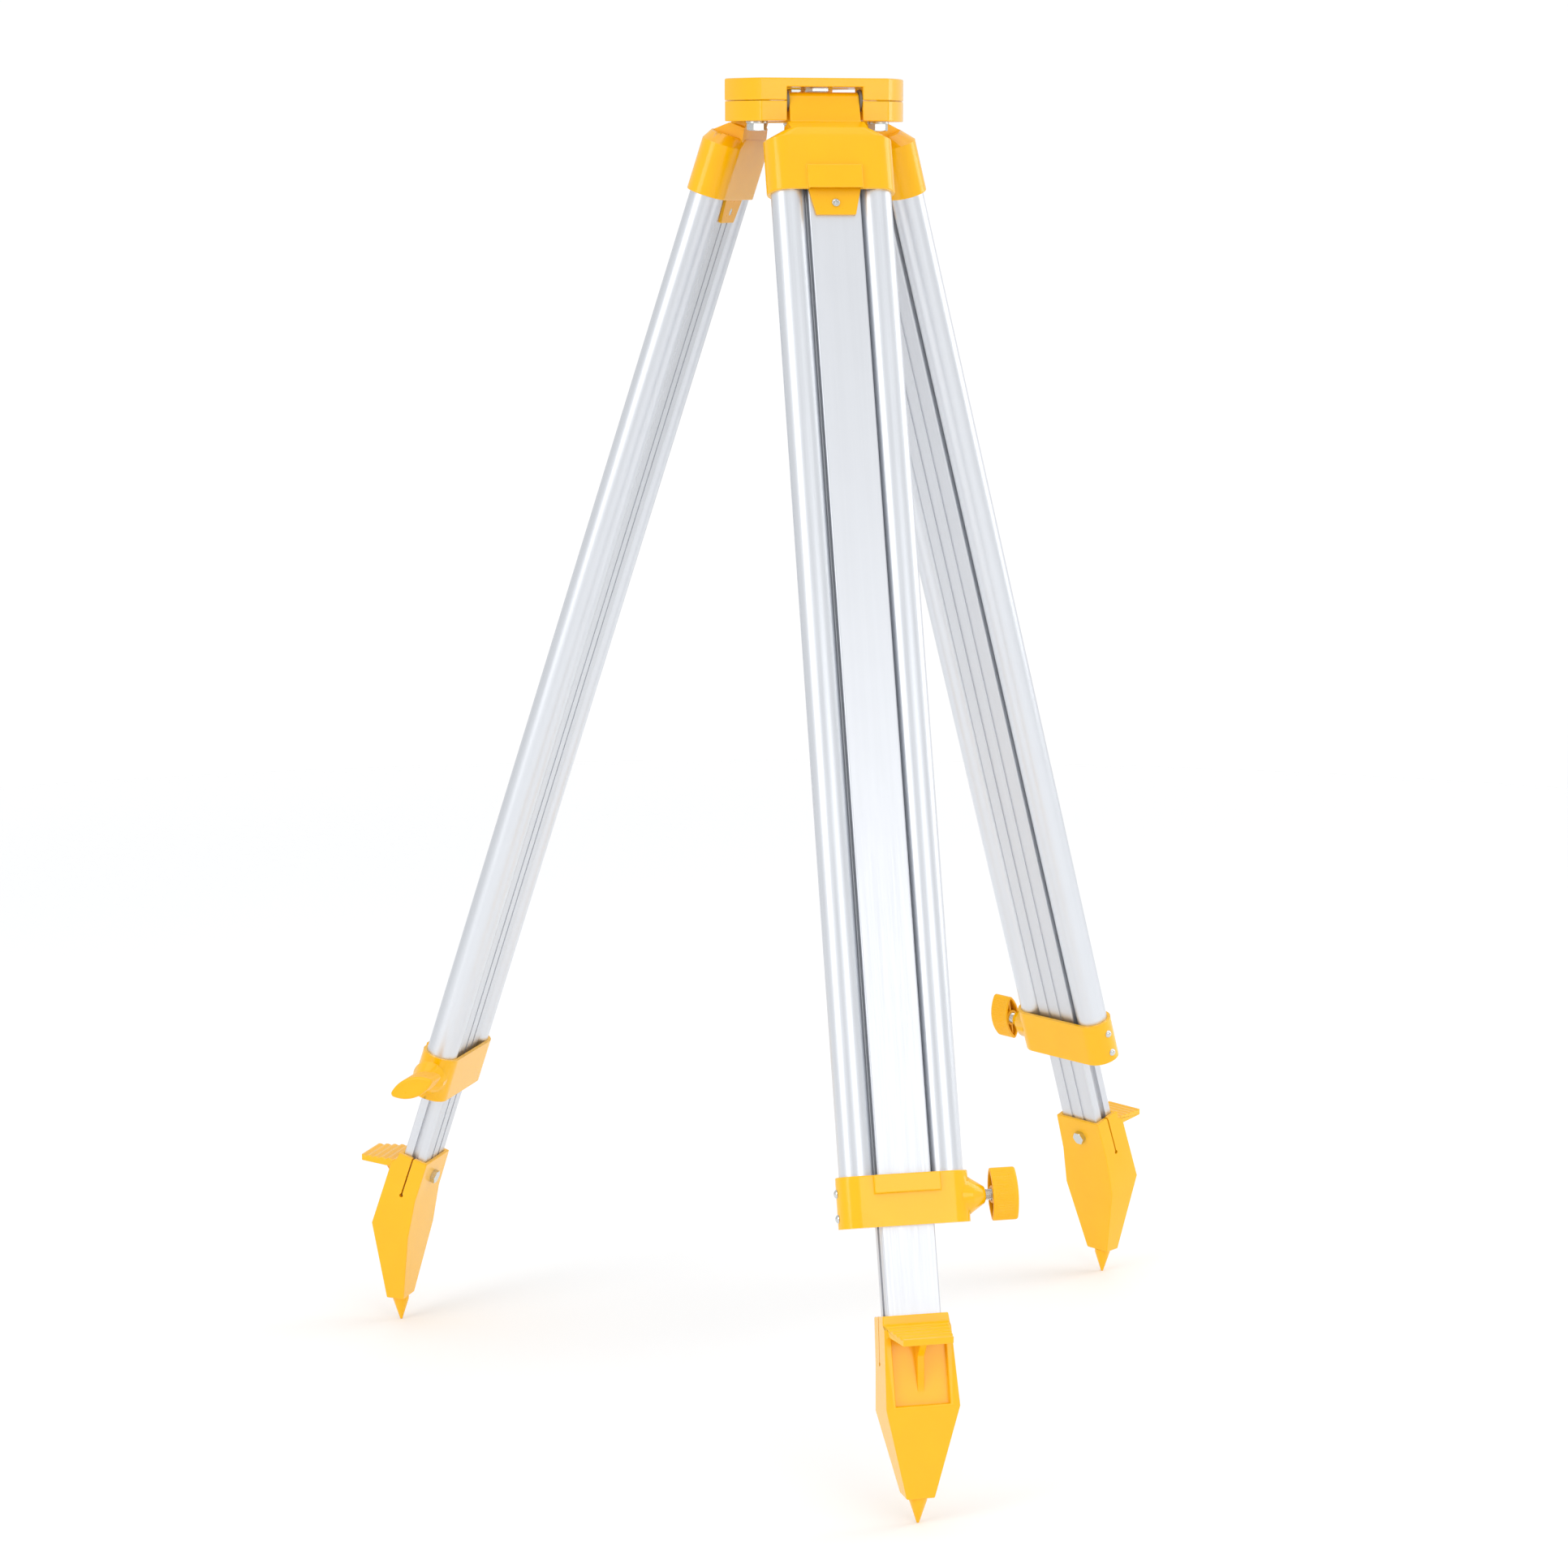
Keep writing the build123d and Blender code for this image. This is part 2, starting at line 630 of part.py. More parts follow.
def bar_guide():
    """Cap over the bar's top end, with a tapering tab down each face."""
    outer = bar_outer_face + guide_tab_thickness
    inner = bar_inner_face - guide_tab_thickness
    guide = leg_block(bar_width, inner, outer, guide_top_station, guide_bottom_station)
    guide -= leg_block(bar_width + 1, bar_inner_face, bar_outer_face, bar_top_station, guide_bottom_station + 1)
    for side in (-1, 1):
        mouth = Pos(side * bar_width / 2, -leg_offset) * side_groove()
        guide -= prism(mouth, guide_top_station - 1, bar_top_station + 1)
    shape = [(bar_width / 2, guide_top_station - 1), (bar_width / 2, cap_bottom_station),
             (guide_tip_width / 2, guide_bottom_station)]
    guide &= front_plate(shape, 4 * bar_depth)
    screw = Pos(0, 0, -guide_screw_station)
    guide -= screw * rod_y(guide_screw_radius + thread_fit, -outer - 1, -inner + 1)
    return guide - screw * countersink(thread_fit)


def countersink(spare):
    """Flat head on the inward tab."""
    face = -bar_inner_face + guide_tab_thickness
    depth = guide_tab_thickness - 0.6
    cone = Cone(guide_screw_radius + spare, guide_head_radius + spare, depth)
    return Pos(0, face - depth / 2, 0) * Rot(-90, 0, 0) * cone


def guide_screws():
    """Round-headed screw through the outward tab and flat-headed screw through the inward one."""
    outer = -bar_outer_face - guide_tab_thickness
    reach = guide_tab_thickness + bar_wall + 2
    domed = rod_y(guide_screw_radius, outer, outer + reach)
    domed += rod_y(guide_head_radius, outer - guide_head_height, outer)
    inner = -bar_inner_face + guide_tab_thickness
    flat = rod_y(guide_screw_radius, inner - reach, inner - 0.2) + countersink(0.0)
    return [Pos(0, 0, -guide_screw_station) * screw for screw in (domed, flat)]


def foot_body():
    """Casting that tapers from the bar's socket to the spike, leaning inwards as it goes down."""
    top = foot_top_station
    hip = top + foot_hip_drop
    low = foot_bottom_station + foot_tip_depth / 4
    low_outer = foot_tip_centre + foot_tip_depth / 2
    low_inner = foot_tip_centre - foot_tip_depth / 2
    side = [(foot_inner_face, top), (foot_outer_face, top), (foot_outer_face, top + foot_lip),
            (foot_flange_face, top + foot_lip + foot_flange_proud), (foot_flange_face, hip),
            (low_outer, low), (low_inner, low), (foot_inner_face, top + slit_length)]
    front = [(foot_width / 2, top), (foot_hip_width / 2, hip), (foot_tip_width / 2, low)]
    body = side_plate(side, 2 * foot_hip_width) & front_plate(front, 4 * foot_hip_width)
    return body - spike_axis() * Pos(0, 0, -foot_tip_depth) * Box(foot_hip_width, 4 * foot_tip_depth, 2 * foot_tip_depth)


def tread_axis():
    """Root of the tread plate, level when the leg stands splayed."""
    return Pos(0, -foot_outer_face, -foot_top_station - foot_lip) * Rot(foot_cant, 0, 0)


def tread():
    """Toothed step plate: outline in reach outwards and height, then narrowed towards its tip."""
    pitch = (tread_reach - foot_wall_face) / tread_teeth
    points = [(-foot_wall_face, 0.0)]
    for tooth in range(tread_teeth):
        start = foot_wall_face + tooth * pitch
        points += [(start, 0.0), (start + 0.3 * pitch, -tread_tooth_depth), (start + 0.75 * pitch, 0.0)]
    points += [(tread_reach, 0.0), (tread_reach, -tread_thickness), (-foot_wall_face, -tread_root_thickness)]
    outline = Polygon(*[(-reach, height) for reach, height in points], align=None)
    face = Plane(origin=(0, 0, 0), x_dir=(0, 1, 0), z_dir=(1, 0, 0)) * outline
    plate = extrude(face, foot_width / 2, both=True)
    plan = Polygon((foot_width / 2, foot_wall_face), (-foot_width / 2, foot_wall_face),
                   (-tread_tip_width / 2, -tread_reach), (tread_tip_width / 2, -tread_reach), align=None)
    return tread_axis() * (plate & Pos(0, 0, -foot_width / 2) * extrude(plan, foot_width))


def gusset():
    """Web between the tread and the recess below it."""
    turn = radians(foot_cant)
    tip_out = foot_outer_face + gusset_reach * cos(turn) - tread_thickness * sin(turn)
    tip_down = foot_top_station + foot_lip + gusset_reach * sin(turn) + tread_thickness * cos(turn)
    points = [(foot_outer_face - 1, foot_top_station + foot_lip + 2), (tip_out, tip_down),
              (foot_outer_face + gusset_reach * 0.3, foot_top_station + gusset_drop * 0.5),
              (foot_outer_face - 1, foot_top_station + gusset_drop)]
    return side_plate(points, gusset_thickness)


def foot():
    top = foot_top_station
    body = foot_body()
    recess_top = top + foot_lip + tread_root_thickness / 2
    recess_width = foot_width - 2 * foot_wall_side
    body -= leg_block(recess_width, foot_outer_face, foot_flange_face + 1, recess_top, top + foot_hip_drop - 2)
    body += tread() + gusset()
    body -= leg_block(bar_width + 2 * foot_fit, bar_inner_face - foot_fit, bar_outer_face + foot_fit,
                      top - 1, bar_bottom_station + foot_fit)
    body -= leg_block(2 * foot_hip_width, leg_offset - slit_width / 2, leg_offset + slit_width / 2,
                      top - 1, top + slit_length)
    body -= Pos(0, -leg_offset, -top - slit_length) * rod_x(slit_end_radius, -foot_hip_width, foot_hip_width)
    bolt_hole = rod_y(foot_bolt_radius + thread_fit, -foot_outer_face - 1.5, -foot_inner_face + foot_flange_proud)
    body -= Pos(0, 0, -top - foot_bolt_drop) * bolt_hole
    return body - spike_axis() * rod_z(spike_tang_radius + thread_fit, -1, spike_tang_length + 0.5)


def foot_bolt():
    bolt = rod_y(foot_bolt_radius, -foot_outer_face - 1, -foot_inner_face)
    bolt += Pos(0, -foot_inner_face, 0) * Rot(-90, 0, 0) * hexagon(foot_bolt_flats, foot_bolt_head)
    return Pos(0, 0, -foot_top_station - foot_bolt_drop) * bolt


def spike_axis():
    """Middle of the foot's lower end, with Z back up along the spike."""
    return Pos(0, -foot_tip_centre, -foot_bottom_station) * Rot(foot_cant, 0, 0)


def spike():
    """Steel point on a tang, upright when the leg stands splayed."""
    length = spike_length - spike_collar
    point = rod_z(spike_radius, -spike_collar, -0.2)
    point += Pos(0, 0, -spike_collar - length / 2) * Cone(spike_point_radius, spike_radius, length)
    return spike_axis() * (point + rod_z(spike_tang_radius, -0.2, spike_tang_length))


# ---------------------------------------------------------------- build

def head_nodes():
    nodes = {"head_plate": head_plate()}
    for corner in corner_azimuth:
        nodes["corner_clamp_" + corner] = clamp_block(corner)
    nodes["corner_bolts"] = [at_corner(corner, corner_bolt()) for corner in corner_azimuth]
    nodes["corner_washers"] = [at_corner(corner, corner_washer()) for corner in corner_azimuth]
    for leg, azimuth in leg_azimuth.items():
        nodes["hinge_pin_" + leg] = Rot(0, 0, azimuth) * hinge_pin()
    nodes["friction_washers"] = [Rot(0, 0, azimuth) * friction_washers() for azimuth in leg_azimuth.values()]
    nodes["arm_pivot_screw"] = pivot_screw()
    nodes["centring_arm"] = centring_arm()
    nodes["carriage_bush"] = carriage_bush()
    nodes["thrust_washer"] = thrust_washer()
    nodes["instrument_screw"] = instrument_screw()
    nodes["centring_knob"] = centring_knob()
    return nodes


def leg_nodes(leg):
    pieces = {
        "hinge_cap": hinge_cap(), "tube_knob_side": outer_tube(1), "tube_rivet_side": outer_tube(-1),
        "clamp_ring": clamp_ring(), "clamp_rivets": clamp_rivets(), "pressure_shoe": pressure_shoe(),
        "clamp_screw": clamp_screw(leg), "clamp_knob": clamp_knob(leg), "sliding_bar": sliding_bar(),
        "bar_guide": bar_guide(), "guide_screws": guide_screws(), "foot": foot(),
        "foot_bolt": foot_bolt(), "spike": spike(),
    }
    placed = {}
    for name, piece in pieces.items():
        group = piece if isinstance(piece, list) else [piece]
        placed[leg + "_" + name] = [at_leg(leg, solid) for solid in group]
    return placed


def write_parts():
    os.makedirs("parts", exist_ok=True)
    nodes = head_nodes()
    for leg in leg_azimuth:
        nodes.update(leg_nodes(leg))
    for name, piece in nodes.items():
        group = piece if isinstance(piece, list) else [piece]
        solids = [solid for shape in group for solid in shape.solids()]
        shape = solids[0] if len(solids) == 1 else Compound(children=solids)
        export_step(shape, "parts/" + name + ".step")
        print(name, len(solids), round(sum(solid.volume for solid in solids), 1))


if __name__ == "__main__":
    write_parts()
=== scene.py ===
"""Builder's tripod: flat yellow head, three telescopic aluminium legs with wing-knob clamps, pointed feet.

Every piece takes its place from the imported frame, in metres. Z is up and the front leg is towards -Y.
"""

import json
from math import atan2, cos, pi, radians, sin, sqrt, tan

import bmesh
import bpy
from mathutils import Matrix, Vector
from mathutils.kdtree import KDTree


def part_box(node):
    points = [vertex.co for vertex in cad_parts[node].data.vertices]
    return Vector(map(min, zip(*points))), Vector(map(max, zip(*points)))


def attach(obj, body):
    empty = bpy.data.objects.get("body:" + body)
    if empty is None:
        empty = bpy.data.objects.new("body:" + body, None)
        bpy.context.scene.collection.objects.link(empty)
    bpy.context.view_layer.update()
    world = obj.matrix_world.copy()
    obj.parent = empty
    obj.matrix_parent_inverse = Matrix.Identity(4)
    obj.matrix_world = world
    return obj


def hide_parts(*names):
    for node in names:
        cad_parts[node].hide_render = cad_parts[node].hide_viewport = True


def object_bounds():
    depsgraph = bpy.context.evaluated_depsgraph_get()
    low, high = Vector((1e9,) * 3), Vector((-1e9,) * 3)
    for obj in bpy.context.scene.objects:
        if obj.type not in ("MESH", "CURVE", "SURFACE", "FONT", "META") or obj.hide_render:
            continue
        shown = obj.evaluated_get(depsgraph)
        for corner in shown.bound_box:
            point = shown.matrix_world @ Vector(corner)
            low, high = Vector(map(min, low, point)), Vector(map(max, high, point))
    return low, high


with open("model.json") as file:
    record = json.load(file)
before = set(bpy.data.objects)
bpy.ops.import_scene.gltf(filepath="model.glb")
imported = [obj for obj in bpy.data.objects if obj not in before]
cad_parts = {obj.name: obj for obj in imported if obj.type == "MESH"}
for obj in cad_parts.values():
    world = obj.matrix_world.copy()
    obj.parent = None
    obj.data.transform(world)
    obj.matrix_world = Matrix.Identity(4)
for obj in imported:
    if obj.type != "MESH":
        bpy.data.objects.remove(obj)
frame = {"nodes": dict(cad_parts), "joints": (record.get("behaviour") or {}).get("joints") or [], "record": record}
cad_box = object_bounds()

bl_info = {
    "name": "Builder's tripod",
    "version": (1, 0, 0),
    "blender": (4, 5, 0),
    "location": "View3D > Sidebar > Tripod",
    "description": "Finishes and details a flat-head tripod with telescopic legs",
    "category": "Object",
}

MM = 0.001
FLOOR_RADIUS = 30.0
LEGS = ("front", "left", "right")
JOINTS = {joint["name"]: joint for joint in frame["joints"]}

JOIN_GAP = 2e-6            # a node's points this close are one point
SAME_PLANE = 1e-5          # points this close in height lie on one face
FLAT_TURN = radians(0.6)   # facets that turn less than this are one face
SHARP_TURN = radians(24)   # edges that turn more than this are rounded or shaded sharp
RUN_TURN = radians(13)     # a rounded edge runs on along edges that turn more than this
CORNER_TURN = radians(33)  # a run of edges ends where its direction changes more than this
FOLD_TURN = radians(115)   # a surface that turns more than this has folded over
ROUND_ROOM = 2.2           # a rounded edge needs faces this many times as wide as its radius
FOLD_REACH = 1.8           # edges this many radii from a fold are left sharp
ROUND_TRIES = 12
BOLT_PITCH = 0.00125       # coarse M8
FLUSH_HEAD = 0.4 * MM      # depth of the cross recess's plate in a flush screw head
FLOOR_FADE = (1.7, 3.8)    # the floor turns clear between these distances from its middle


# ---------------------------------------------------------------- sizes and colours

class TripodSizes(bpy.types.PropertyGroup):
    """Sizes of the details that are added to the frame"""
    casting_round: bpy.props.FloatProperty(
        name="Casting round", description="Radius along the edges of the castings",
        default=0.0008, unit="LENGTH")
    fine_round: bpy.props.FloatProperty(
        name="Fine round", description="Radius along the edges of small and drawn parts",
        default=0.0004, unit="LENGTH")
    grip_pitch: bpy.props.FloatProperty(
        name="Grip pitch", description="Spacing of the fine ribs round a clamp knob",
        default=0.00125, unit="LENGTH")
    grip_depth: bpy.props.FloatProperty(
        name="Grip depth", description="Depth between the ribs of a clamp knob",
        default=0.00030, unit="LENGTH")
    clamp_pitch: bpy.props.FloatProperty(
        name="Clamp thread pitch", description="Pitch of the M8 clamp screws",
        default=0.00125, unit="LENGTH")
    instrument_pitch: bpy.props.FloatProperty(
        name="Instrument thread pitch", description="Pitch of the 5/8 inch instrument screw",
        default=0.0254 / 11, unit="LENGTH")


class TripodColours(bpy.types.PropertyGroup):
    """Colours of the finishes"""
    enamel: bpy.props.FloatVectorProperty(
        name="Enamel", description="Golden-yellow enamel on the castings",
        default=(0.965, 0.495, 0.0005), subtype="COLOR")
    moulded: bpy.props.FloatVectorProperty(
        name="Moulded yellow", description="Golden-yellow plastic of the knobs and bar guides",
        default=(0.955, 0.475, 0.0010), subtype="COLOR")
    anodised: bpy.props.FloatVectorProperty(
        name="Anodised", description="Satin anodised aluminium",
        default=(0.74, 0.76, 0.795), subtype="COLOR")
    bar: bpy.props.FloatVectorProperty(
        name="Bar", description="Anodised aluminium of the sliding bars",
        default=(0.695, 0.710, 0.742), subtype="COLOR")
    zinc: bpy.props.FloatVectorProperty(
        name="Zinc", description="Bright zinc plate on the screws and bolts",
        default=(0.62, 0.65, 0.67), subtype="COLOR")
    brass: bpy.props.FloatVectorProperty(
        name="Brass", description="Turned brass of the instrument screw and its bush",
        default=(0.72, 0.50, 0.20), subtype="COLOR")
    nylon: bpy.props.FloatVectorProperty(
        name="Nylon", description="Natural nylon washers",
        default=(0.80, 0.79, 0.74), subtype="COLOR")
    # Painted shade: the hinge friction washers are darkened so the thin gaps beside each knuckle read as shade
    shade_darkened_nylon: bpy.props.FloatVectorProperty(
        name="Shade-darkened nylon", description="Friction washer nylon darkened as painted shade in the gaps beside the hinge knuckles",
        default=(0.16, 0.145, 0.12), subtype="COLOR")
    black: bpy.props.FloatVectorProperty(
        name="Black plastic", description="Black nylon of the centring knob and pressure shoes",
        default=(0.018, 0.018, 0.019), subtype="COLOR")


def sizes():
    return bpy.context.scene.tripod_sizes


def colours():
    return bpy.context.scene.tripod_colours


# ---------------------------------------------------------------- places from the frame

def leg_place(leg):
    """Frame of a leg at rest: X along the hinge pin to the knob side, Z up the leg, origin on the pin."""
    hinge = JOINTS[leg + "_leg_hinge"]
    x = -Vector(hinge["axis"])
    z = -Vector(JOINTS[leg + "_leg_slide"]["axis"])
    place = Matrix((x, z.cross(x), z)).transposed().to_4x4()
    place.translation = Vector(hinge["pos_m"])
    return place


def along(axis, origin):
    """Frame whose Z runs along an axis from an origin."""
    z = Vector(axis).normalized()
    side = Vector((1, 0, 0)) if abs(z.x) < 0.9 else Vector((0, 1, 0))
    y = z.cross(side).normalized()
    place = Matrix((y.cross(z), y, z)).transposed().to_4x4()
    place.translation = Vector(origin)
    return place


def corners(node, place):
    """A node's points as seen from a place."""
    back = place.inverted()
    return [back @ v.co for v in frame["nodes"][node].data.vertices]


def reach(node, place, axis=2):
    """Lowest and highest value of a node along one axis of a place."""
    values = [p[axis] for p in corners(node, place)]
    return min(values), max(values)


def loose_parts(node):
    """Points of each separate solid in a node, in the order in which they are met."""
    mesh = frame["nodes"][node].data
    bm = bmesh.new()
    bm.from_mesh(mesh)
    bmesh.ops.remove_doubles(bm, verts=bm.verts, dist=1e-6)
    bm.verts.ensure_lookup_table()
    seen, parts = set(), []
    for start in bm.verts:
        if start.index in seen:
            continue
        stack, part = [start], []
        seen.add(start.index)
        while stack:
            vert = stack.pop()
            part.append(vert.co.copy())
            for edge in vert.link_edges:
                other = edge.other_vert(vert)
                if other.index not in seen:
                    seen.add(other.index)
                    stack.append(other)
        parts.append(part)
    bm.free()
    return parts


def bar_middle(leg):
    """How far a sliding bar's middle is outside the hinge pin, across the leg."""
    low, high = reach(f"{leg}_sliding_bar", leg_place(leg), 1)
    return -(low + high) / 2


def middle(points):
    """Centre of the box round some points."""
    low = Vector([min(p[i] for p in points) for i in range(3)])
    high = Vector([max(p[i] for p in points) for i in range(3)])
    return (low + high) / 2


# ---------------------------------------------------------------- mesh making

def make_piece(name, rings_list, place, body, material, nodes=(), sharp=32):
    """Turn stacks of rings, each given in a place's own frame, into one piece that rides on a body."""
    bm = bmesh.new()
    for own_place, rings in rings_list:
        add_rings(bm, rings, place @ own_place if own_place else place)
    bmesh.ops.recalc_face_normals(bm, faces=bm.faces)
    mesh = bpy.data.meshes.new(name)
    bm.to_mesh(mesh)
    bm.free()
    for face in mesh.polygons:
        face.use_smooth = True
    mesh.set_sharp_from_angle(angle=radians(sharp))
    piece = bpy.data.objects.new(name, mesh)
    bpy.context.scene.collection.objects.link(piece)
    piece.data.materials.append(material)
    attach(piece, body)
    if nodes:
        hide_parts(*nodes)
    return piece


def add_rings(bm, rings, place):
    """Skin a stack of rings of equal count. A ring of one point closes the end, and one of many is capped."""
    made = [[bm.verts.new(place @ Vector(p)) for p in ring] for ring in rings]
    for low, high in zip(made, made[1:]):
        count = max(len(low), len(high))
        for i in range(count):
            j = (i + 1) % count
            quad = [low[i % len(low)], low[j % len(low)], high[j % len(high)], high[i % len(high)]]
            face = list(dict.fromkeys(quad))
            if len(face) > 2:
                bm.faces.new(face)
    for end in (made[0], made[-1]):
        if len(end) > 2:
            bm.faces.new(end)


def circle(radius, z, count=48):
    return [(radius * cos(2 * pi * i / count), radius * sin(2 * pi * i / count), z) for i in range(count)]


def turned(profile, count=48):
    """Rings of a turned shape from (radius, z) pairs; a radius of 0 is a single point."""
    return [circle(r, z, count) if r > 0 else [(0, 0, z)] for r, z in profile]


def thread_rings(radius, low, high, pitch, count=36, per_turn=8, lead=False):
    """Rings of a screw thread of that outside radius, faded out at both ends. A lead tapers the high end."""
    depth = 0.55 * pitch
    steps = max(2, round((high - low) / pitch * per_turn))
    rings = []
    for step in range(steps + 1):
        z = low + (high - low) * step / steps
        fade = min(1.0, (z - low) / pitch, (high - z) / pitch + 0.001)
        taper = depth * max(0.0, 1 - (high - z) / (0.7 * pitch)) if lead else 0.0
        ring = []
        for i in range(count):
            turn = 2 * pi * i / count
            phase = (z / pitch - i / count) % 1.0
            crest = min(1.0, max(0.0, 1.25 - 2.5 * abs(phase - 0.5) * 1.3))
            r = radius - taper - depth * (1 - crest) * max(0.0, fade)
            ring.append((r * cos(turn), r * sin(turn), z))
        rings.append(ring)
    return rings


def hex_head(flats, height, count=72, top_gap=0.05):
    """Rings of a hexagon head standing on z 0, with the usual turned chamfer on its outer end."""
    inner = flats / 2
    chamfer = 0.955 * inner

    def hexagon(i):
        turn = (2 * pi * i / count + pi / 6) % (pi / 3) - pi / 6
        return inner / cos(turn)

    def ring(fraction, z_of):
        points = []
        for i in range(count):
            turn = 2 * pi * i / count
            r = hexagon(i) * fraction
            points.append((r * cos(turn), r * sin(turn), z_of(hexagon(i))))
        return points

    def edge(r):
        return height - (r - chamfer) * tan(radians(30))
    rings = [ring(0.97, lambda r: 0.0), ring(1.0, lambda r: 0.00015), ring(1.0, edge)]
    rings.append(circle(chamfer, height, count))
    rings.append(circle(chamfer * 0.82, height, count))
    rings.append(circle(chamfer * 0.76, height - top_gap * height, count))
    rings.append([(0, 0, height - top_gap * height)])
    return rings


def cross_head(radius, height, count=48, drive=0.62):
    """Rings of a domed screw head standing on z 0 with a cross recess."""
    slot_half = 0.16 * radius
    slot_reach = drive * radius
    depth = 0.75 * height

    def surface(x, y):
        r = sqrt(x * x + y * y)
        dome = height * sqrt(max(0.0, 1 - 0.62 * (r / radius) ** 2))
        arm = min(max(abs(x) - slot_half, abs(y) - slot_reach), max(abs(y) - slot_half, abs(x) - slot_reach))
        inside = min(1.0, max(0.0, -arm / (0.10 * radius) + 0.5))
        return dome - depth * inside * (1 - 0.5 * r / radius)
    rings = [circle(radius, 0, count), circle(radius, height * 0.35, count)]
    steps = 22
    for step in range(steps):
        r = radius * (0.985 - 0.965 * step / (steps - 1))
        rings.append([(x, y, surface(x, y)) for x, y, _ in circle(r, 0, count)])
    rings.append([(0, 0, surface(0, 0))])
    return rings


def round_edges(node, width):
    """Round a frame node's sharp edges, after joining the flat facets of each face."""
    piece = frame["nodes"][node]
    for face in piece.data.polygons:
        face.use_smooth = True
    weld = piece.modifiers.new("join", "WELD")
    weld.merge_threshold = JOIN_GAP
    flat = piece.modifiers.new("flats", "DECIMATE")
    flat.decimate_type = "DISSOLVE"
    flat.angle_limit = FLAT_TURN
    bevel = piece.modifiers.new("round", "BEVEL")
    bevel.width = width
    bevel.segments = 2
    bevel.limit_method = "ANGLE"
    bevel.angle_limit = radians(28)
    bevel.miter_outer = "MITER_ARC"
    bevel.use_clamp_overlap = True
    bevel.harden_normals = False
    normal = piece.modifiers.new("shade", "WEIGHTED_NORMAL")
    normal.keep_sharp = False
    normal.weight = 90


def soften(node, width, body, finish):
    """Piece that stands for a frame node, with its sharp edges rounded wherever that folds nothing over."""
    plain = bmesh.new()
    plain.from_mesh(frame["nodes"][node].data)
    bmesh.ops.remove_doubles(plain, verts=plain.verts, dist=JOIN_GAP)
    bmesh.ops.dissolve_limit(plain, angle_limit=FLAT_TURN, verts=plain.verts, edges=plain.edges)
    plain.edges.index_update()
    plain.edges.ensure_lookup_table()
    bent = [e for e in plain.edges if e.is_manifold and e.calc_face_angle(0) > RUN_TURN]
    roomy = [e for e in bent if e.calc_face_angle(0) > SHARP_TURN
             and all(face_reach(face, e) > ROUND_ROOM * width for face in e.link_faces)]
    wanted = run_on(roomy, bent)
    allowed = len(folds(plain))
    for _ in range(ROUND_TRIES):
        bm = plain.copy()
        bm.edges.ensure_lookup_table()
        bmesh.ops.bevel(bm, geom=[bm.edges[e.index] for e in wanted], offset=width, offset_type="OFFSET",
                        segments=4, profile=0.5, affect="EDGES", clamp_overlap=False,
                        miter_outer="SHARP", miter_inner="SHARP", loop_slide=False)
        bm.normal_update()
        bad = folds(bm)
        if len(bad) <= allowed:
            break
        near = KDTree(len(bad))
        for i, point in enumerate(bad):
            near.insert(point, i)
        near.balance()
        close = [e for e in wanted if any(near.find(v.co)[2] < FOLD_REACH * width for v in e.verts)]
        spoilt = run_on(close, wanted)
        if not spoilt:
            break
        wanted -= spoilt
        bm.free()
    mesh = bpy.data.meshes.new(node + "_cast")
    bm.to_mesh(mesh)
    bm.free()
    plain.free()
    for face in mesh.polygons:
        face.use_smooth = True
    mesh.set_sharp_from_angle(angle=SHARP_TURN)
    piece = bpy.data.objects.new(node + "_cast", mesh)
    bpy.context.scene.collection.objects.link(piece)
    piece.data.materials.append(finish)
    normal = piece.modifiers.new("shade", "WEIGHTED_NORMAL")
    normal.keep_sharp = True
    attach(piece, body)
    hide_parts(node)
    return piece


def run_on(edges, among):
    """A set of edges with all those that carry on from them without a corner."""
    among, found, stack = set(among), set(edges), list(edges)
    while stack:
        edge = stack.pop()
        for vert in edge.verts:
            ahead = (vert.co - edge.other_vert(vert).co).normalized()
            for other in vert.link_edges:
                if other not in among or other in found:
                    continue
                onward = (other.other_vert(vert).co - vert.co).normalized()
                if ahead.dot(onward) > cos(CORNER_TURN):
                    found.add(other)
                    stack.append(other)
    return found


def folds(bm):
    """Ends of the edges across which the surface doubles back on itself."""
    doubled = [e for e in bm.edges if e.is_manifold and e.calc_face_angle(0) > FOLD_TURN]
    return [v.co.copy() for e in doubled for v in e.verts]


def face_reach(face, edge):
    """How far a face goes from one of its edges."""
    start = edge.verts[0].co
    line = (edge.verts[1].co - start).normalized()
    return max(((v.co - start) - line * (v.co - start).dot(line)).length for v in face.verts)


def finish_nodes(names, material):
    for name in names:
        piece = frame["nodes"][name]
        piece.data.materials.clear()
        piece.data.materials.append(material)


def smooth_node(node, angle=30):
    mesh = frame["nodes"][node].data
    for face in mesh.polygons:
        face.use_smooth = True
    mesh.set_sharp_from_angle(angle=radians(angle))


# ---------------------------------------------------------------- shader node groups

def new_group(name, inputs, outputs):
    """Empty shader group with float, vector or colour sockets, and its two end nodes."""
    group = bpy.data.node_groups.new(name, "ShaderNodeTree")
    kinds = {"f": "NodeSocketFloat", "v": "NodeSocketVector", "c": "NodeSocketColor"}
    for label, kind, default in inputs:
        socket = group.interface.new_socket(name=label, in_out="INPUT", socket_type=kinds[kind])
        socket.default_value = default
    for label, kind in outputs:
        group.interface.new_socket(name=label, in_out="OUTPUT", socket_type=kinds[kind])
    start = group.nodes.new("NodeGroupInput")
    end = group.nodes.new("NodeGroupOutput")
    return group, start, end


def node(tree, kind, values=(), **settings):
    made = tree.nodes.new(kind)
    for key, value in settings.items():
        setattr(made, key, value)
    for label, value in dict(values).items():
        made.inputs[label].default_value = value
    return made


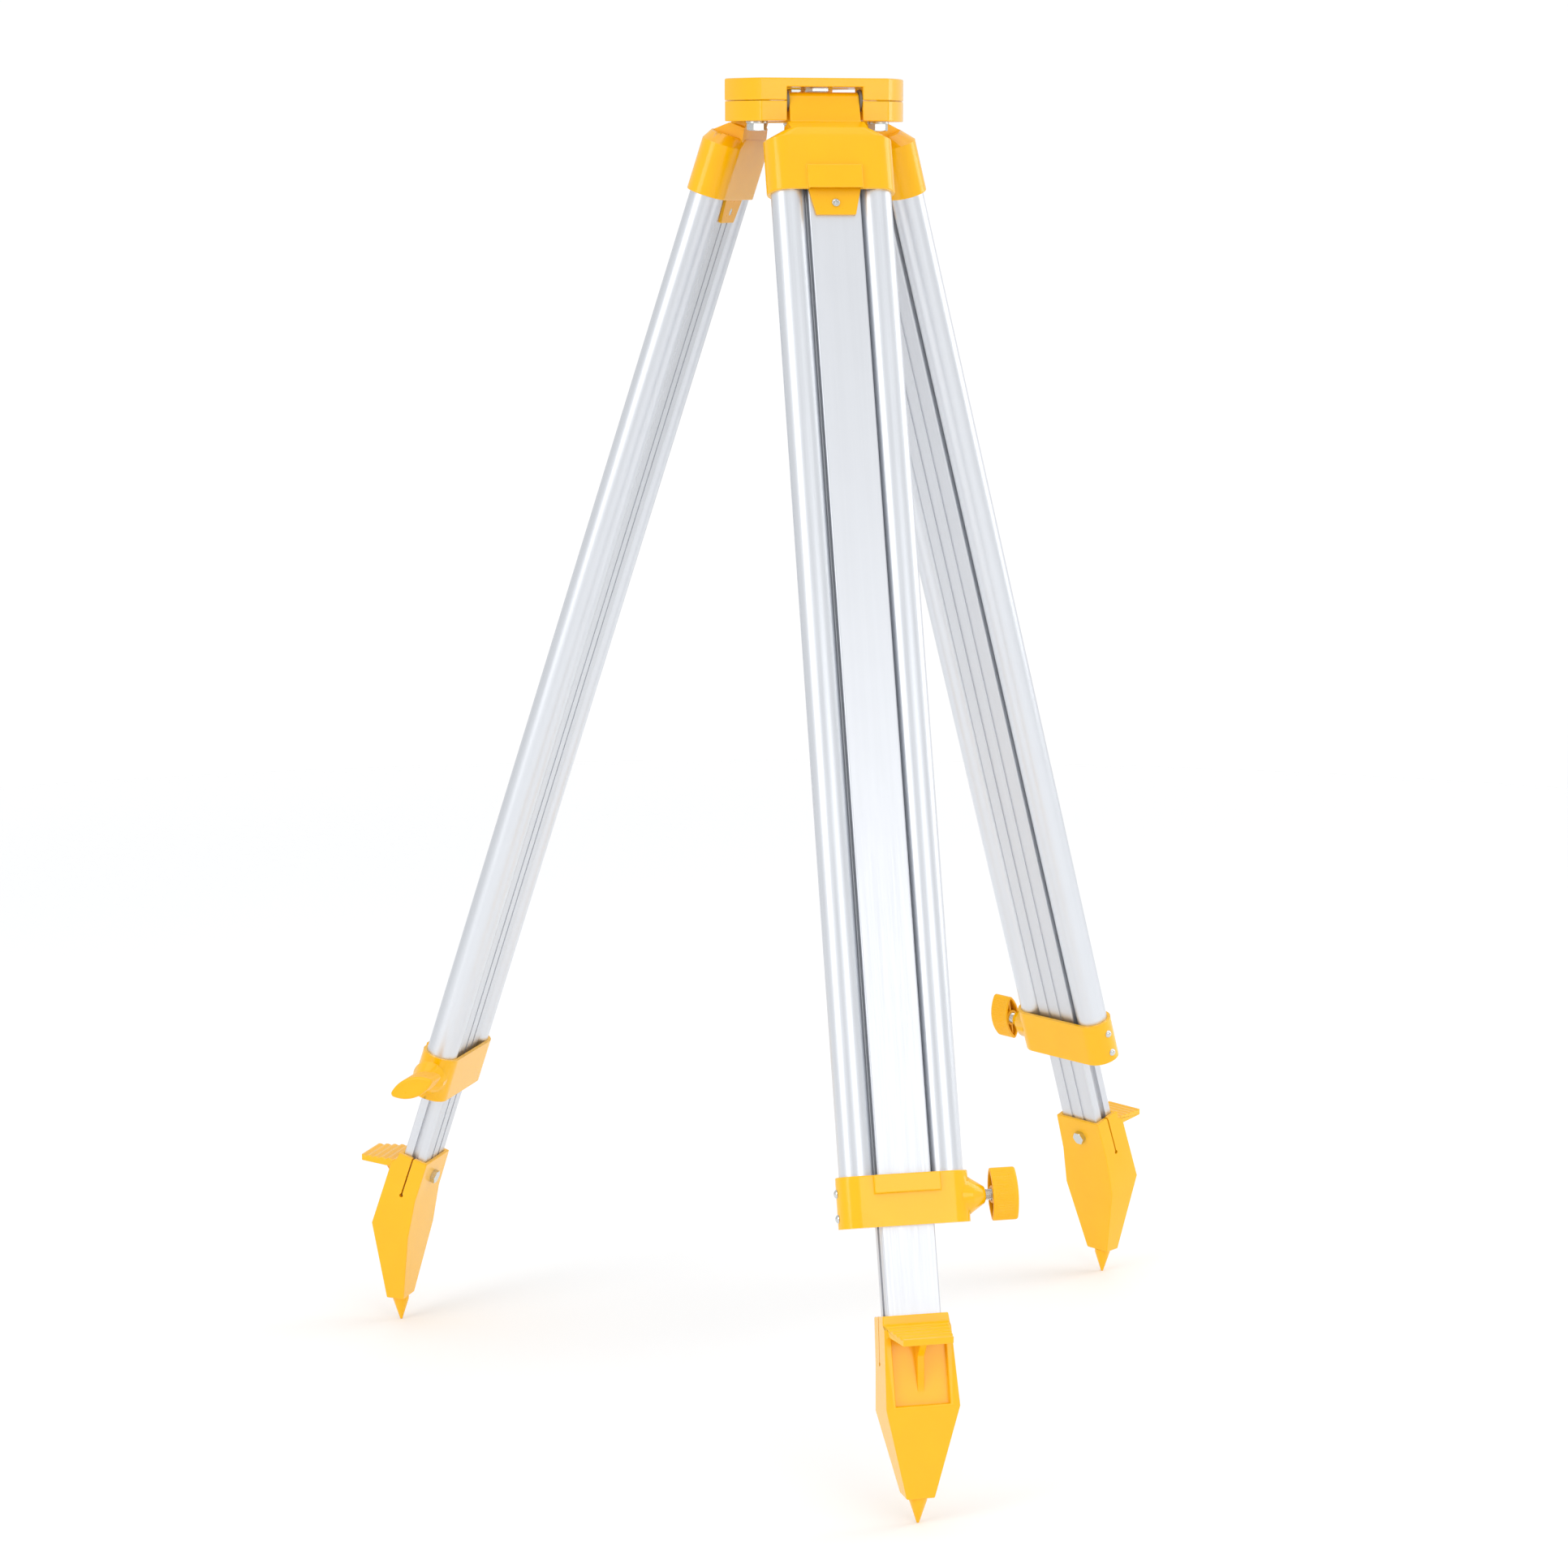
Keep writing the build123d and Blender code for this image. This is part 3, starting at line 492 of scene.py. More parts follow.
def maths(tree, operation, a, b=None, c=None, clamp=False):
    made = node(tree, "ShaderNodeMath", operation=operation, use_clamp=clamp)
    for socket, value in zip(made.inputs, (a, b, c)):
        if value is None:
            continue
        if isinstance(value, (int, float)):
            socket.default_value = value
        else:
            tree.links.new(value, socket)
    return made.outputs[0]


def noise_of(tree, vector, scale, detail=2.0, roughness=0.5):
    made = node(tree, "ShaderNodeTexNoise", {"Scale": scale, "Detail": detail, "Roughness": roughness})
    if vector is not None:
        tree.links.new(vector, made.inputs["Vector"])
    return made.outputs["Fac"]


def object_points(tree):
    return node(tree, "ShaderNodeTexCoord").outputs["Object"]


def cast_texture_group():
    """Slight orange peel of enamel over a cast surface, with shallow colour change."""
    group, start, end = new_group(
        "Cast texture",
        [("Points", "v", (0, 0, 0)), ("Base", "c", (0.9, 0.5, 0.0, 1)), ("Peel", "f", 0.5),
         ("Mottle", "f", 0.05), ("Gloss", "f", 0.2)],
        [("Colour", "c"), ("Roughness", "f"), ("Height", "f")])
    link = group.links.new
    peel = noise_of(group, start.outputs["Points"], 420, 3.0, 0.55)
    grit = noise_of(group, start.outputs["Points"], 1500, 2.0, 0.5)
    cloud = noise_of(group, start.outputs["Points"], 38, 3.0, 0.55)
    height = maths(group, "MULTIPLY_ADD", grit, 0.30, peel)
    link(maths(group, "MULTIPLY", height, start.outputs["Peel"]), end.inputs["Height"])
    tone = maths(group, "MULTIPLY_ADD", maths(group, "SUBTRACT", cloud, 0.5), start.outputs["Mottle"], 1.0)
    shade = node(group, "ShaderNodeHueSaturation")
    link(tone, shade.inputs["Value"])
    link(start.outputs["Base"], shade.inputs["Color"])
    link(shade.outputs["Color"], end.inputs["Colour"])
    rough = maths(group, "MULTIPLY_ADD", maths(group, "SUBTRACT", peel, 0.5), 0.16, start.outputs["Gloss"])
    link(maths(group, "MAXIMUM", rough, 0.04), end.inputs["Roughness"])
    return group


def drawn_grain_group():
    """Fine die lines that run along one direction of a drawn or extruded section."""
    group, start, end = new_group(
        "Drawn grain",
        [("Points", "v", (0, 0, 0)), ("Along", "v", (0, 0, 1)), ("Base", "c", (0.8, 0.82, 0.85, 1)),
         ("Lines", "f", 1400.0), ("Streak", "f", 0.1), ("Gloss", "f", 0.3)],
        [("Colour", "c"), ("Roughness", "f"), ("Height", "f")])
    link = group.links.new
    dot = node(group, "ShaderNodeVectorMath", operation="DOT_PRODUCT")
    link(start.outputs["Points"], dot.inputs[0])
    link(start.outputs["Along"], dot.inputs[1])
    drop = node(group, "ShaderNodeVectorMath", operation="SCALE")
    link(start.outputs["Along"], drop.inputs[0])
    link(maths(group, "MULTIPLY", dot.outputs["Value"], -0.992), drop.inputs["Scale"])
    flat = node(group, "ShaderNodeVectorMath", operation="ADD")
    link(start.outputs["Points"], flat.inputs[0])
    link(drop.outputs["Vector"], flat.inputs[1])
    lines = node(group, "ShaderNodeTexNoise", {"Detail": 3.0, "Roughness": 0.6})
    link(flat.outputs["Vector"], lines.inputs["Vector"])
    link(start.outputs["Lines"], lines.inputs["Scale"])
    broad = noise_of(group, flat.outputs["Vector"], 260, 2.0, 0.5)
    cloud = noise_of(group, start.outputs["Points"], 30, 3.0, 0.6)
    height = maths(group, "MULTIPLY_ADD", broad, 0.6, lines.outputs["Fac"])
    link(height, end.inputs["Height"])
    change = maths(group, "MULTIPLY_ADD", maths(group, "SUBTRACT", broad, 0.5), 1.0,
                   maths(group, "MULTIPLY", maths(group, "SUBTRACT", lines.outputs["Fac"], 0.5), 0.5))
    change = maths(group, "MULTIPLY_ADD", maths(group, "SUBTRACT", cloud, 0.5), 0.35, change)
    tone = maths(group, "MULTIPLY_ADD", change, start.outputs["Streak"], 1.0)
    shade = node(group, "ShaderNodeHueSaturation")
    link(tone, shade.inputs["Value"])
    link(start.outputs["Base"], shade.inputs["Color"])
    link(shade.outputs["Color"], end.inputs["Colour"])
    rough = maths(group, "MULTIPLY_ADD", maths(group, "SUBTRACT", lines.outputs["Fac"], 0.5), 0.28,
                  start.outputs["Gloss"])
    link(maths(group, "MAXIMUM", rough, 0.06), end.inputs["Roughness"])
    return group


def plating_group():
    """Bright plating: cloudy tint, faint scratches and a little uneven gloss."""
    group, start, end = new_group(
        "Plating",
        [("Points", "v", (0, 0, 0)), ("Base", "c", (0.65, 0.67, 0.7, 1)), ("Tint", "c", (0.7, 0.68, 0.55, 1)),
         ("Gloss", "f", 0.25)],
        [("Colour", "c"), ("Roughness", "f"), ("Height", "f")])
    link = group.links.new
    cloud = noise_of(group, start.outputs["Points"], 190, 3.0, 0.6)
    grit = noise_of(group, start.outputs["Points"], 2600, 3.0, 0.6)
    blend = node(group, "ShaderNodeMix", data_type="RGBA")
    link(maths(group, "MULTIPLY_ADD", maths(group, "SUBTRACT", cloud, 0.5), 1.6, 0.35, clamp=True),
         blend.inputs["Factor"])
    link(start.outputs["Base"], blend.inputs["A"])
    link(start.outputs["Tint"], blend.inputs["B"])
    link(blend.outputs["Result"], end.inputs["Colour"])
    rough = maths(group, "MULTIPLY_ADD", maths(group, "SUBTRACT", grit, 0.5), 0.30, start.outputs["Gloss"])
    link(maths(group, "MAXIMUM", rough, 0.05), end.inputs["Roughness"])
    link(grit, end.inputs["Height"])
    return group


# ---------------------------------------------------------------- materials

def new_material(name, group_name, group_values, shader_values, bump, distance):
    """Material whose group feeds colour, roughness and bump, with constants on the shader's own sockets."""
    material = bpy.data.materials.new(name)
    material.use_nodes = True
    tree = material.node_tree
    shader = tree.nodes["Principled BSDF"]
    for label, value in shader_values.items():
        shader.inputs[label].default_value = value
    effect = node(tree, "ShaderNodeGroup", node_tree=bpy.data.node_groups[group_name])
    for label, value in group_values.items():
        effect.inputs[label].default_value = value
    tree.links.new(object_points(tree), effect.inputs["Points"])
    tree.links.new(effect.outputs["Colour"], shader.inputs["Base Color"])
    tree.links.new(effect.outputs["Roughness"], shader.inputs["Roughness"])
    relief = node(tree, "ShaderNodeBump", {"Strength": bump, "Distance": distance})
    tree.links.new(effect.outputs["Height"], relief.inputs["Height"])
    tree.links.new(relief.outputs["Normal"], shader.inputs["Normal"])
    return material


def rgba(colour):
    return (*colour, 1.0)


def cast_finish(name, base, peel, mottle, gloss, shader_values, bump, distance):
    group_values = {"Base": rgba(base), "Peel": peel, "Mottle": mottle, "Gloss": gloss}
    return new_material(name, "Cast texture", group_values, shader_values, bump, distance)


def plated_finish(name, base, tint, gloss):
    return new_material(name, "Plating", {"Base": rgba(base), "Tint": tint, "Gloss": gloss},
                        {"Metallic": 1.0}, 0.06, 0.2 * MM)


def material(name):
    """A finish by name, made when it is first asked for."""
    if name in bpy.data.materials:
        return bpy.data.materials[name]
    tint = colours()
    if name == "Yellow enamel":
        glaze = {"Coat Weight": 0.28, "Coat Roughness": 0.06, "IOR": 1.50, "Specular IOR Level": 0.32}
        return cast_finish(name, tint.enamel, 1.0, 0.10, 0.20, glaze, 0.22, 0.4 * MM)
    if name == "Yellow plastic":
        shine = {"IOR": 1.49, "Specular IOR Level": 0.40}
        return cast_finish(name, tint.moulded, 0.5, 0.06, 0.30, shine, 0.12, 0.3 * MM)
    if name == "Black plastic":
        return cast_finish(name, tint.black, 1.0, 0.3, 0.42, {"IOR": 1.50}, 0.25, 0.3 * MM)
    if name == "Nylon":
        milky = {"IOR": 1.53, "Subsurface Weight": 0.15, "Subsurface Scale": 0.001}
        return cast_finish(name, tint.nylon, 0.5, 0.10, 0.45, milky, 0.10, 0.3 * MM)
    # Painted shade: dark nylon that stands in for the shade in the gaps beside the hinge knuckles
    if name == "Shade-darkened nylon":
        return cast_finish(name, tint.shade_darkened_nylon, 0.5, 0.10, 0.50, {"IOR": 1.53}, 0.10, 0.3 * MM)
    if name == "Zinc plate":
        return plated_finish(name, tint.zinc, (0.70, 0.68, 0.58, 1), 0.24)
    if name == "Brass":
        return plated_finish(name, tint.brass, (0.62, 0.40, 0.15, 1), 0.26)
    raise ValueError("no finish is called " + name)


def anodised_material(leg, kind, tone, lines, streak, gloss):
    """Satin anodised finish with its die lines along one leg."""
    direction = tuple(-leg_place(leg).col[2].to_3d())
    return new_material(
        f"Anodised {kind} {leg}", "Drawn grain",
        {"Base": rgba(tone), "Along": direction, "Lines": lines, "Streak": streak, "Gloss": gloss},
        {"Metallic": 0.92}, 0.10, 0.0002)


# ---------------------------------------------------------------- operators

class TRIPOD_OT_effects(bpy.types.Operator):
    """Make the shader groups that the finishes share"""
    bl_idname = "tripod.effects"
    bl_label = "Surface effects"

    def execute(self, context):
        cast_texture_group()
        drawn_grain_group()
        plating_group()
        return {"FINISHED"}


class TRIPOD_OT_head(bpy.types.Operator):
    """Finish the head plate, its corner clamps and its hinge pins"""
    bl_idname = "tripod.head"
    bl_label = "Head"

    def execute(self, context):
        castings = ["head_plate"] + [n for n in frame["nodes"] if n.startswith("corner_clamp_")]
        for name in castings:
            soften(name, sizes().casting_round, "head", material("Yellow enamel"))
        pins = ["hinge_pin_" + leg for leg in LEGS]
        for name in pins + ["corner_washers", "friction_washers"]:
            round_edges(name, 0.25 * MM)
        finish_nodes(pins + ["corner_washers"], material("Zinc plate"))
        # the friction washers get dark nylon as painted shade for the gaps beside the knuckles
        finish_nodes(["friction_washers"], material("Shade-darkened nylon"))
        return {"FINISHED"}


class TRIPOD_OT_corner_bolts(bpy.types.Operator):
    """Make the three hexagon bolts under the head's corners"""
    bl_idname = "tripod.corner_bolts"
    bl_label = "Corner bolts"

    def execute(self, context):
        stacks = []
        for points in loose_parts("corner_bolts"):
            centre = middle(points)
            low = min(p.z for p in points)
            high = max(p.z for p in points)
            shank = [p for p in points if p.z > high - SAME_PLANE]
            radius = max((p - centre).xy.length for p in shank)
            wide = [p for p in points if (p - centre).xy.length > radius + 2 * MM]
            seat = max(p.z for p in wide)
            corner = max(wide, key=lambda p: (p - centre).xy.length)
            flats = 2 * (corner - centre).xy.length * cos(pi / 6)
            turn = atan2(corner.y - centre.y, corner.x - centre.x)
            down = Matrix.Translation((centre.x, centre.y, seat)) @ Matrix.Rotation(pi, 4, "X")
            stacks.append((down @ Matrix.Rotation(-turn + pi / 6, 4, "Z"), hex_head(flats, seat - low)))
            thread = thread_rings(radius, 0.0, high - seat - 0.2 * MM, BOLT_PITCH, lead=True)
            stacks.append((Matrix.Translation((centre.x, centre.y, seat)), thread))
        make_piece("corner_hex_bolts", stacks, Matrix.Identity(4), "head",
                   material("Zinc plate"), ["corner_bolts"])
        return {"FINISHED"}


class TRIPOD_OT_centring(bpy.types.Operator):
    """Make the instrument screw, its knob and the gear that carries them"""
    bl_idname = "tripod.centring"
    bl_label = "Centring gear"

    def execute(self, context):
        round_edges("centring_arm", sizes().fine_round)
        smooth_node("arm_pivot_screw")
        round_edges("arm_pivot_screw", 0.4 * MM)
        finish_nodes(["centring_arm", "arm_pivot_screw"], material("Zinc plate"))
        round_edges("carriage_bush", 0.3 * MM)
        finish_nodes(["carriage_bush"], material("Brass"))
        round_edges("thrust_washer", 0.2 * MM)
        finish_nodes(["thrust_washer"], material("Nylon"))
        self.instrument_screw()
        self.knob()
        return {"FINISHED"}

    def instrument_screw(self):
        mount = frame["record"]["mounts"][0]
        radius = mount["dims"]["r_mm"] * MM
        length = mount["dims"]["length_mm"] * MM
        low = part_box("instrument_screw")[0].z
        points = [p for p in corners("instrument_screw", Matrix.Identity(4)) if p.z < low + SAME_PLANE]
        shank = max(p.xy.length for p in points)
        rings = [[(0, 0, low)], circle(shank - 0.0004, low, 36), circle(shank, low + 0.0004, 36),
                 circle(shank, -length, 36)]
        pitch = sizes().instrument_pitch
        rings += thread_rings(radius, -length + 1e-5, -0.2 * MM, pitch, per_turn=12, lead=True)
        top = rings[-1]
        rings.append([(x * 0.93, y * 0.93, 0) for x, y, _ in top])
        rings.append([(x * 0.42, y * 0.42, 0) for x, y, _ in top])
        rings.append([(x * 0.36, y * 0.36, -0.0012) for x, y, _ in top])
        rings.append([(0, 0, -0.0016)])
        make_piece("instrument_thread", [(None, rings)], Matrix.Identity(4), "screw",
                   material("Brass"), ["instrument_screw"])

    def knob(self):
        low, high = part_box("centring_knob")
        radius, height = (high.x - low.x) / 2, high.z - low.z
        lobes, count = 8, 192
        hole = max(p.xy.length for p in corners("centring_knob", Matrix.Identity(4))
                   if p.z > high.z - SAME_PLANE and p.xy.length < radius * 0.5)

        def ring(inset, z, depth=1.0):
            points = []
            for i in range(count):
                turn = 2 * pi * i / count
                wave = (0.5 + 0.5 * cos(lobes * turn)) ** 3
                r = (radius - inset) * (1 - 0.115 * wave * depth)
                points.append((r * cos(turn), r * sin(turn), z))
            return points
        rings = [[(0, 0, low.z + 0.0016)], circle(radius * 0.45, low.z + 0.0016, count),
                 circle(radius * 0.52, low.z + 0.0002, count), circle(radius * 0.58, low.z, count),
                 ring(0.0030, low.z, 0.7), ring(0.0014, low.z + 0.0004, 0.9), ring(0.0004, low.z + 0.0013),
                 ring(0.0, low.z + 0.0026), ring(0.0, high.z - 0.0040), ring(0.0003, high.z - 0.0028),
                 ring(0.0012, high.z - 0.0019, 0.9), ring(0.0030, high.z - 0.0016, 0.7),
                 circle(radius * 0.66, high.z - 0.0014, count), circle(radius * 0.62, high.z, count),
                 circle(hole, high.z, count), circle(hole, high.z - height * 0.4, count),
                 [(0, 0, high.z - height * 0.4)]]
        make_piece("centring_grip", [(None, rings)], Matrix.Identity(4), "screw",
                   material("Black plastic"), ["centring_knob"])


class TRIPOD_OT_tubes(bpy.types.Operator):
    """Finish the outer tubes and sliding bars with die lines along each leg"""
    bl_idname = "tripod.tubes"
    bl_label = "Tubes and bars"

    def execute(self, context):
        for leg in LEGS:
            tubes = [f"{leg}_tube_knob_side", f"{leg}_tube_rivet_side"]
            bar = f"{leg}_sliding_bar"
            for name in tubes + [bar]:
                smooth_node(name, 25)
            finish_nodes(tubes, anodised_material(leg, "tube", colours().anodised, 1500.0, 0.07, 0.38))
            finish_nodes([bar], anodised_material(leg, "bar", colours().bar, 1900.0, 0.08, 0.42))
        return {"FINISHED"}


class TRIPOD_OT_hinge_caps(bpy.types.Operator):
    """Finish the castings at the top of each leg"""
    bl_idname = "tripod.hinge_caps"
    bl_label = "Hinge caps"

    def execute(self, context):
        for leg in LEGS:
            soften(f"{leg}_hinge_cap", sizes().casting_round, "upper_" + leg,
                   material("Yellow enamel"))
            soften(f"{leg}_bar_guide", sizes().fine_round, "lower_" + leg,
                   material("Yellow plastic"))
        return {"FINISHED"}


class TRIPOD_OT_guide_screws(bpy.types.Operator):
    """Make the cross-head screws that hold the bar guides"""
    bl_idname = "tripod.guide_screws"
    bl_label = "Guide screws"

    def execute(self, context):
        for leg in LEGS:
            place = leg_place(leg)
            back = place.inverted()
            stacks = []
            for points in loose_parts(f"{leg}_guide_screws"):
                own = [back @ p for p in points]
                centre = middle(own)
                low, high = min(p.y for p in own), max(p.y for p in own)
                outward = centre.y < -bar_middle(leg)
                end, tail, sign = (low, high, -1) if outward else (high, low, 1)

                def spread(p):
                    return sqrt((p.x - centre.x) ** 2 + (p.z - centre.z) ** 2)
                head = max(spread(p) for p in own)
                shank = max(spread(p) for p in own if abs(p.y - tail) < SAME_PLANE)
                rim = [p.y for p in own if spread(p) > head - 5e-5]
                stands = max(abs(end - (max(rim) if outward else min(rim))), FLUSH_HEAD)
                aim = Matrix.Translation((centre.x, end - sign * stands, centre.z)) \
                    @ Matrix.Rotation(-sign * pi / 2, 4, "X")
                stacks.append((aim, cross_head(head, stands)))
                length = high - low - stands
                stacks.append((aim, turned([(0, -length), (shank, -length), (shank, 0.0)], 24)))
            make_piece(f"{leg}_cross_screws", stacks, place, "lower_" + leg,
                       material("Zinc plate"), [f"{leg}_guide_screws"])
        return {"FINISHED"}


class TRIPOD_OT_clamps(bpy.types.Operator):
    """Finish the clamp rings and their rivets and shoes"""
    bl_idname = "tripod.clamps"
    bl_label = "Clamp rings"

    def execute(self, context):
        for leg in LEGS:
            soften(f"{leg}_clamp_ring", sizes().casting_round, "upper_" + leg,
                   material("Yellow enamel"))
            smooth_node(f"{leg}_clamp_rivets", 40)
            smooth_node(f"{leg}_pressure_shoe", 30)
            finish_nodes([f"{leg}_clamp_rivets"], material("Zinc plate"))
            finish_nodes([f"{leg}_pressure_shoe"], material("Black plastic"))
        return {"FINISHED"}


class TRIPOD_OT_clamp_screws(bpy.types.Operator):
    """Make the threaded clamp screws"""
    bl_idname = "tripod.clamp_screws"
    bl_label = "Clamp screws"

    def execute(self, context):
        for leg in LEGS:
            joint = JOINTS[leg + "_knob_turn"]
            place = along(joint["axis"], joint["pos_m"])
            low, high = reach(f"{leg}_clamp_screw", place)
            face = reach(f"{leg}_clamp_knob", place)[0]
            radius = max(p.xy.length for p in corners(f"{leg}_clamp_screw", place))
            pitch = sizes().clamp_pitch
            start, end = face - 0.012, face + 0.006
            core = radius - 0.3 * pitch
            rings = [[(0, 0, low)], circle(core - 0.0003, low, 36), circle(core, low + 0.0003, 36),
                     circle(core, start - 1e-4, 36)]
            rings += thread_rings(radius, start, end, pitch)
            rings += [circle(core, end + 1e-4, 36), circle(core, high, 36), [(0, 0, high)]]
            make_piece(f"{leg}_threaded_screw", [(None, rings)], place, "knob_" + leg,
                       material("Zinc plate"), [f"{leg}_clamp_screw"], 60)
        return {"FINISHED"}


class TRIPOD_OT_clamp_knobs(bpy.types.Operator):
    """Make the leaf-shaped wing knobs with their fine ribs and hollow backs"""
    bl_idname = "tripod.clamp_knobs"
    bl_label = "Clamp knobs"

    def execute(self, context):
        for leg in LEGS:
            name = f"{leg}_clamp_knob"
            joint = JOINTS[leg + "_knob_turn"]
            axis = Vector(joint["axis"])
            place = along(axis, joint["pos_m"])
            tip = max(corners(name, place), key=lambda p: p.xy.length)
            place = place @ Matrix.Rotation(atan2(tip.y, tip.x), 4, "Z")
            low, high = reach(name, place)
            length = 2 * tip.xy.length
            breadth = reach(name, place, 1)[1] * 2
            make_piece(f"{leg}_wing_knob", self.stacks(length, breadth, low, high), place, "knob_" + leg,
                       material("Yellow plastic"), [name], 35)
        return {"FINISHED"}

    def leaf(self, length, breadth, tip, inset, z, ribs=0.0):
        """Outline of two arcs with rounded tips along X, moved inwards by an inset."""
        tip_centre = length / 2 - tip
        big = (tip_centre ** 2 + (breadth / 2) ** 2 - tip ** 2) / (breadth - 2 * tip)
        shift = big - breadth / 2
        small = max(tip - inset, 0.0002)
        centre = tip_centre if tip - inset > 0.0002 else sqrt((big - inset - small) ** 2 - shift ** 2)
        half = atan2(centre, shift)
        side, nose = 112, 12
        outline = []
        pitch = sizes().grip_pitch / big
        for flip in (1, -1):
            for i in range(side):
                turn = half * (1 - 2 * i / (side - 1))
                groove = ribs * (0.5 - 0.5 * cos(2 * pi * turn / pitch)) ** 1.5
                r = big - inset - groove
                outline.append((flip * r * sin(turn), flip * (r * cos(turn) - shift), z))
            for i in range(1, nose):
                turn = -half - (pi - 2 * half) * i / nose
                outline.append((flip * (-centre + small * sin(turn)), flip * small * cos(turn), z))
        return outline

    def stacks(self, length, breadth, low, high):
        tip = 0.0028
        wall = 0.0022
        depth = sizes().grip_depth

        def outer(inset, z, ribs=0.0):
            return self.leaf(length, breadth, tip, inset, z, ribs)
        rings = [outer(wall, high - wall), outer(wall, low + 0.0003), outer(wall - 0.0004, low),
                 outer(0.0006, low), outer(0.0001, low + 0.0004), outer(0.0, low + 0.0012),
                 outer(0.0, low + 0.0016, depth)]
        steps = 6
        for step in range(1, steps):
            rings.append(outer(0.0, low + 0.0016 + (high - low - 0.0044) * step / steps, depth))
        rings += [outer(0.0, high - 0.0028, depth), outer(0.0, high - 0.0022), outer(0.0001, high - 0.0014),
                  outer(0.0005, high - 0.0007), outer(0.0012, high - 0.0002), outer(0.0024, high),
                  outer(0.0032, high - 0.0003), outer(0.0055, high - 0.0004)]
        rings.append([(0, 0, high - 0.0004)])
        rings.insert(0, [(0, 0, high - wall)])
        hub = turned([(0.0064, high - wall - 0.0002), (0.0064, low + 0.0008), (0.0060, low + 0.0003),
                      (0.0046, low + 0.0003), (0.00415, low + 0.0008), (0.00415, high - 0.0048),
                      (0, high - 0.0048)])
        stacks = [(None, rings), (None, [[(0, 0, high - wall - 0.0002)]] + hub)]
        for turn, far in ((0.0, length / 2 - 0.0040), (pi, length / 2 - 0.0040),
                          (pi / 2, breadth / 2 - 0.0016), (-pi / 2, breadth / 2 - 0.0016)):
            if far >= 0.0066:
                spoke = self.rib(0.0058, far, low + 0.0020, high - 0.0018)
                stacks.append((Matrix.Rotation(turn, 4, "Z"), spoke))
        return stacks

    def rib(self, start, end, low, high):
        half = 0.0008
        plan = [(start, -half), (end, -half * 0.7), (end, half * 0.7), (start, half)]
        return [[(x, y, low) for x, y in plan], [(x, y, high) for x, y in plan]]


class TRIPOD_OT_feet(bpy.types.Operator):
    """Finish the feet, their bolts and the points"""
    bl_idname = "tripod.feet"
    bl_label = "Feet"

    def execute(self, context):
        for leg in LEGS:
            soften(f"{leg}_foot", sizes().casting_round, "lower_" + leg,
                   material("Yellow enamel"))
            round_edges(f"{leg}_spike", 0.4 * MM)
            round_edges(f"{leg}_foot_bolt", 0.3 * MM)
            finish_nodes([f"{leg}_spike"], material("Yellow enamel"))
            finish_nodes([f"{leg}_foot_bolt"], material("Zinc plate"))
        return {"FINISHED"}


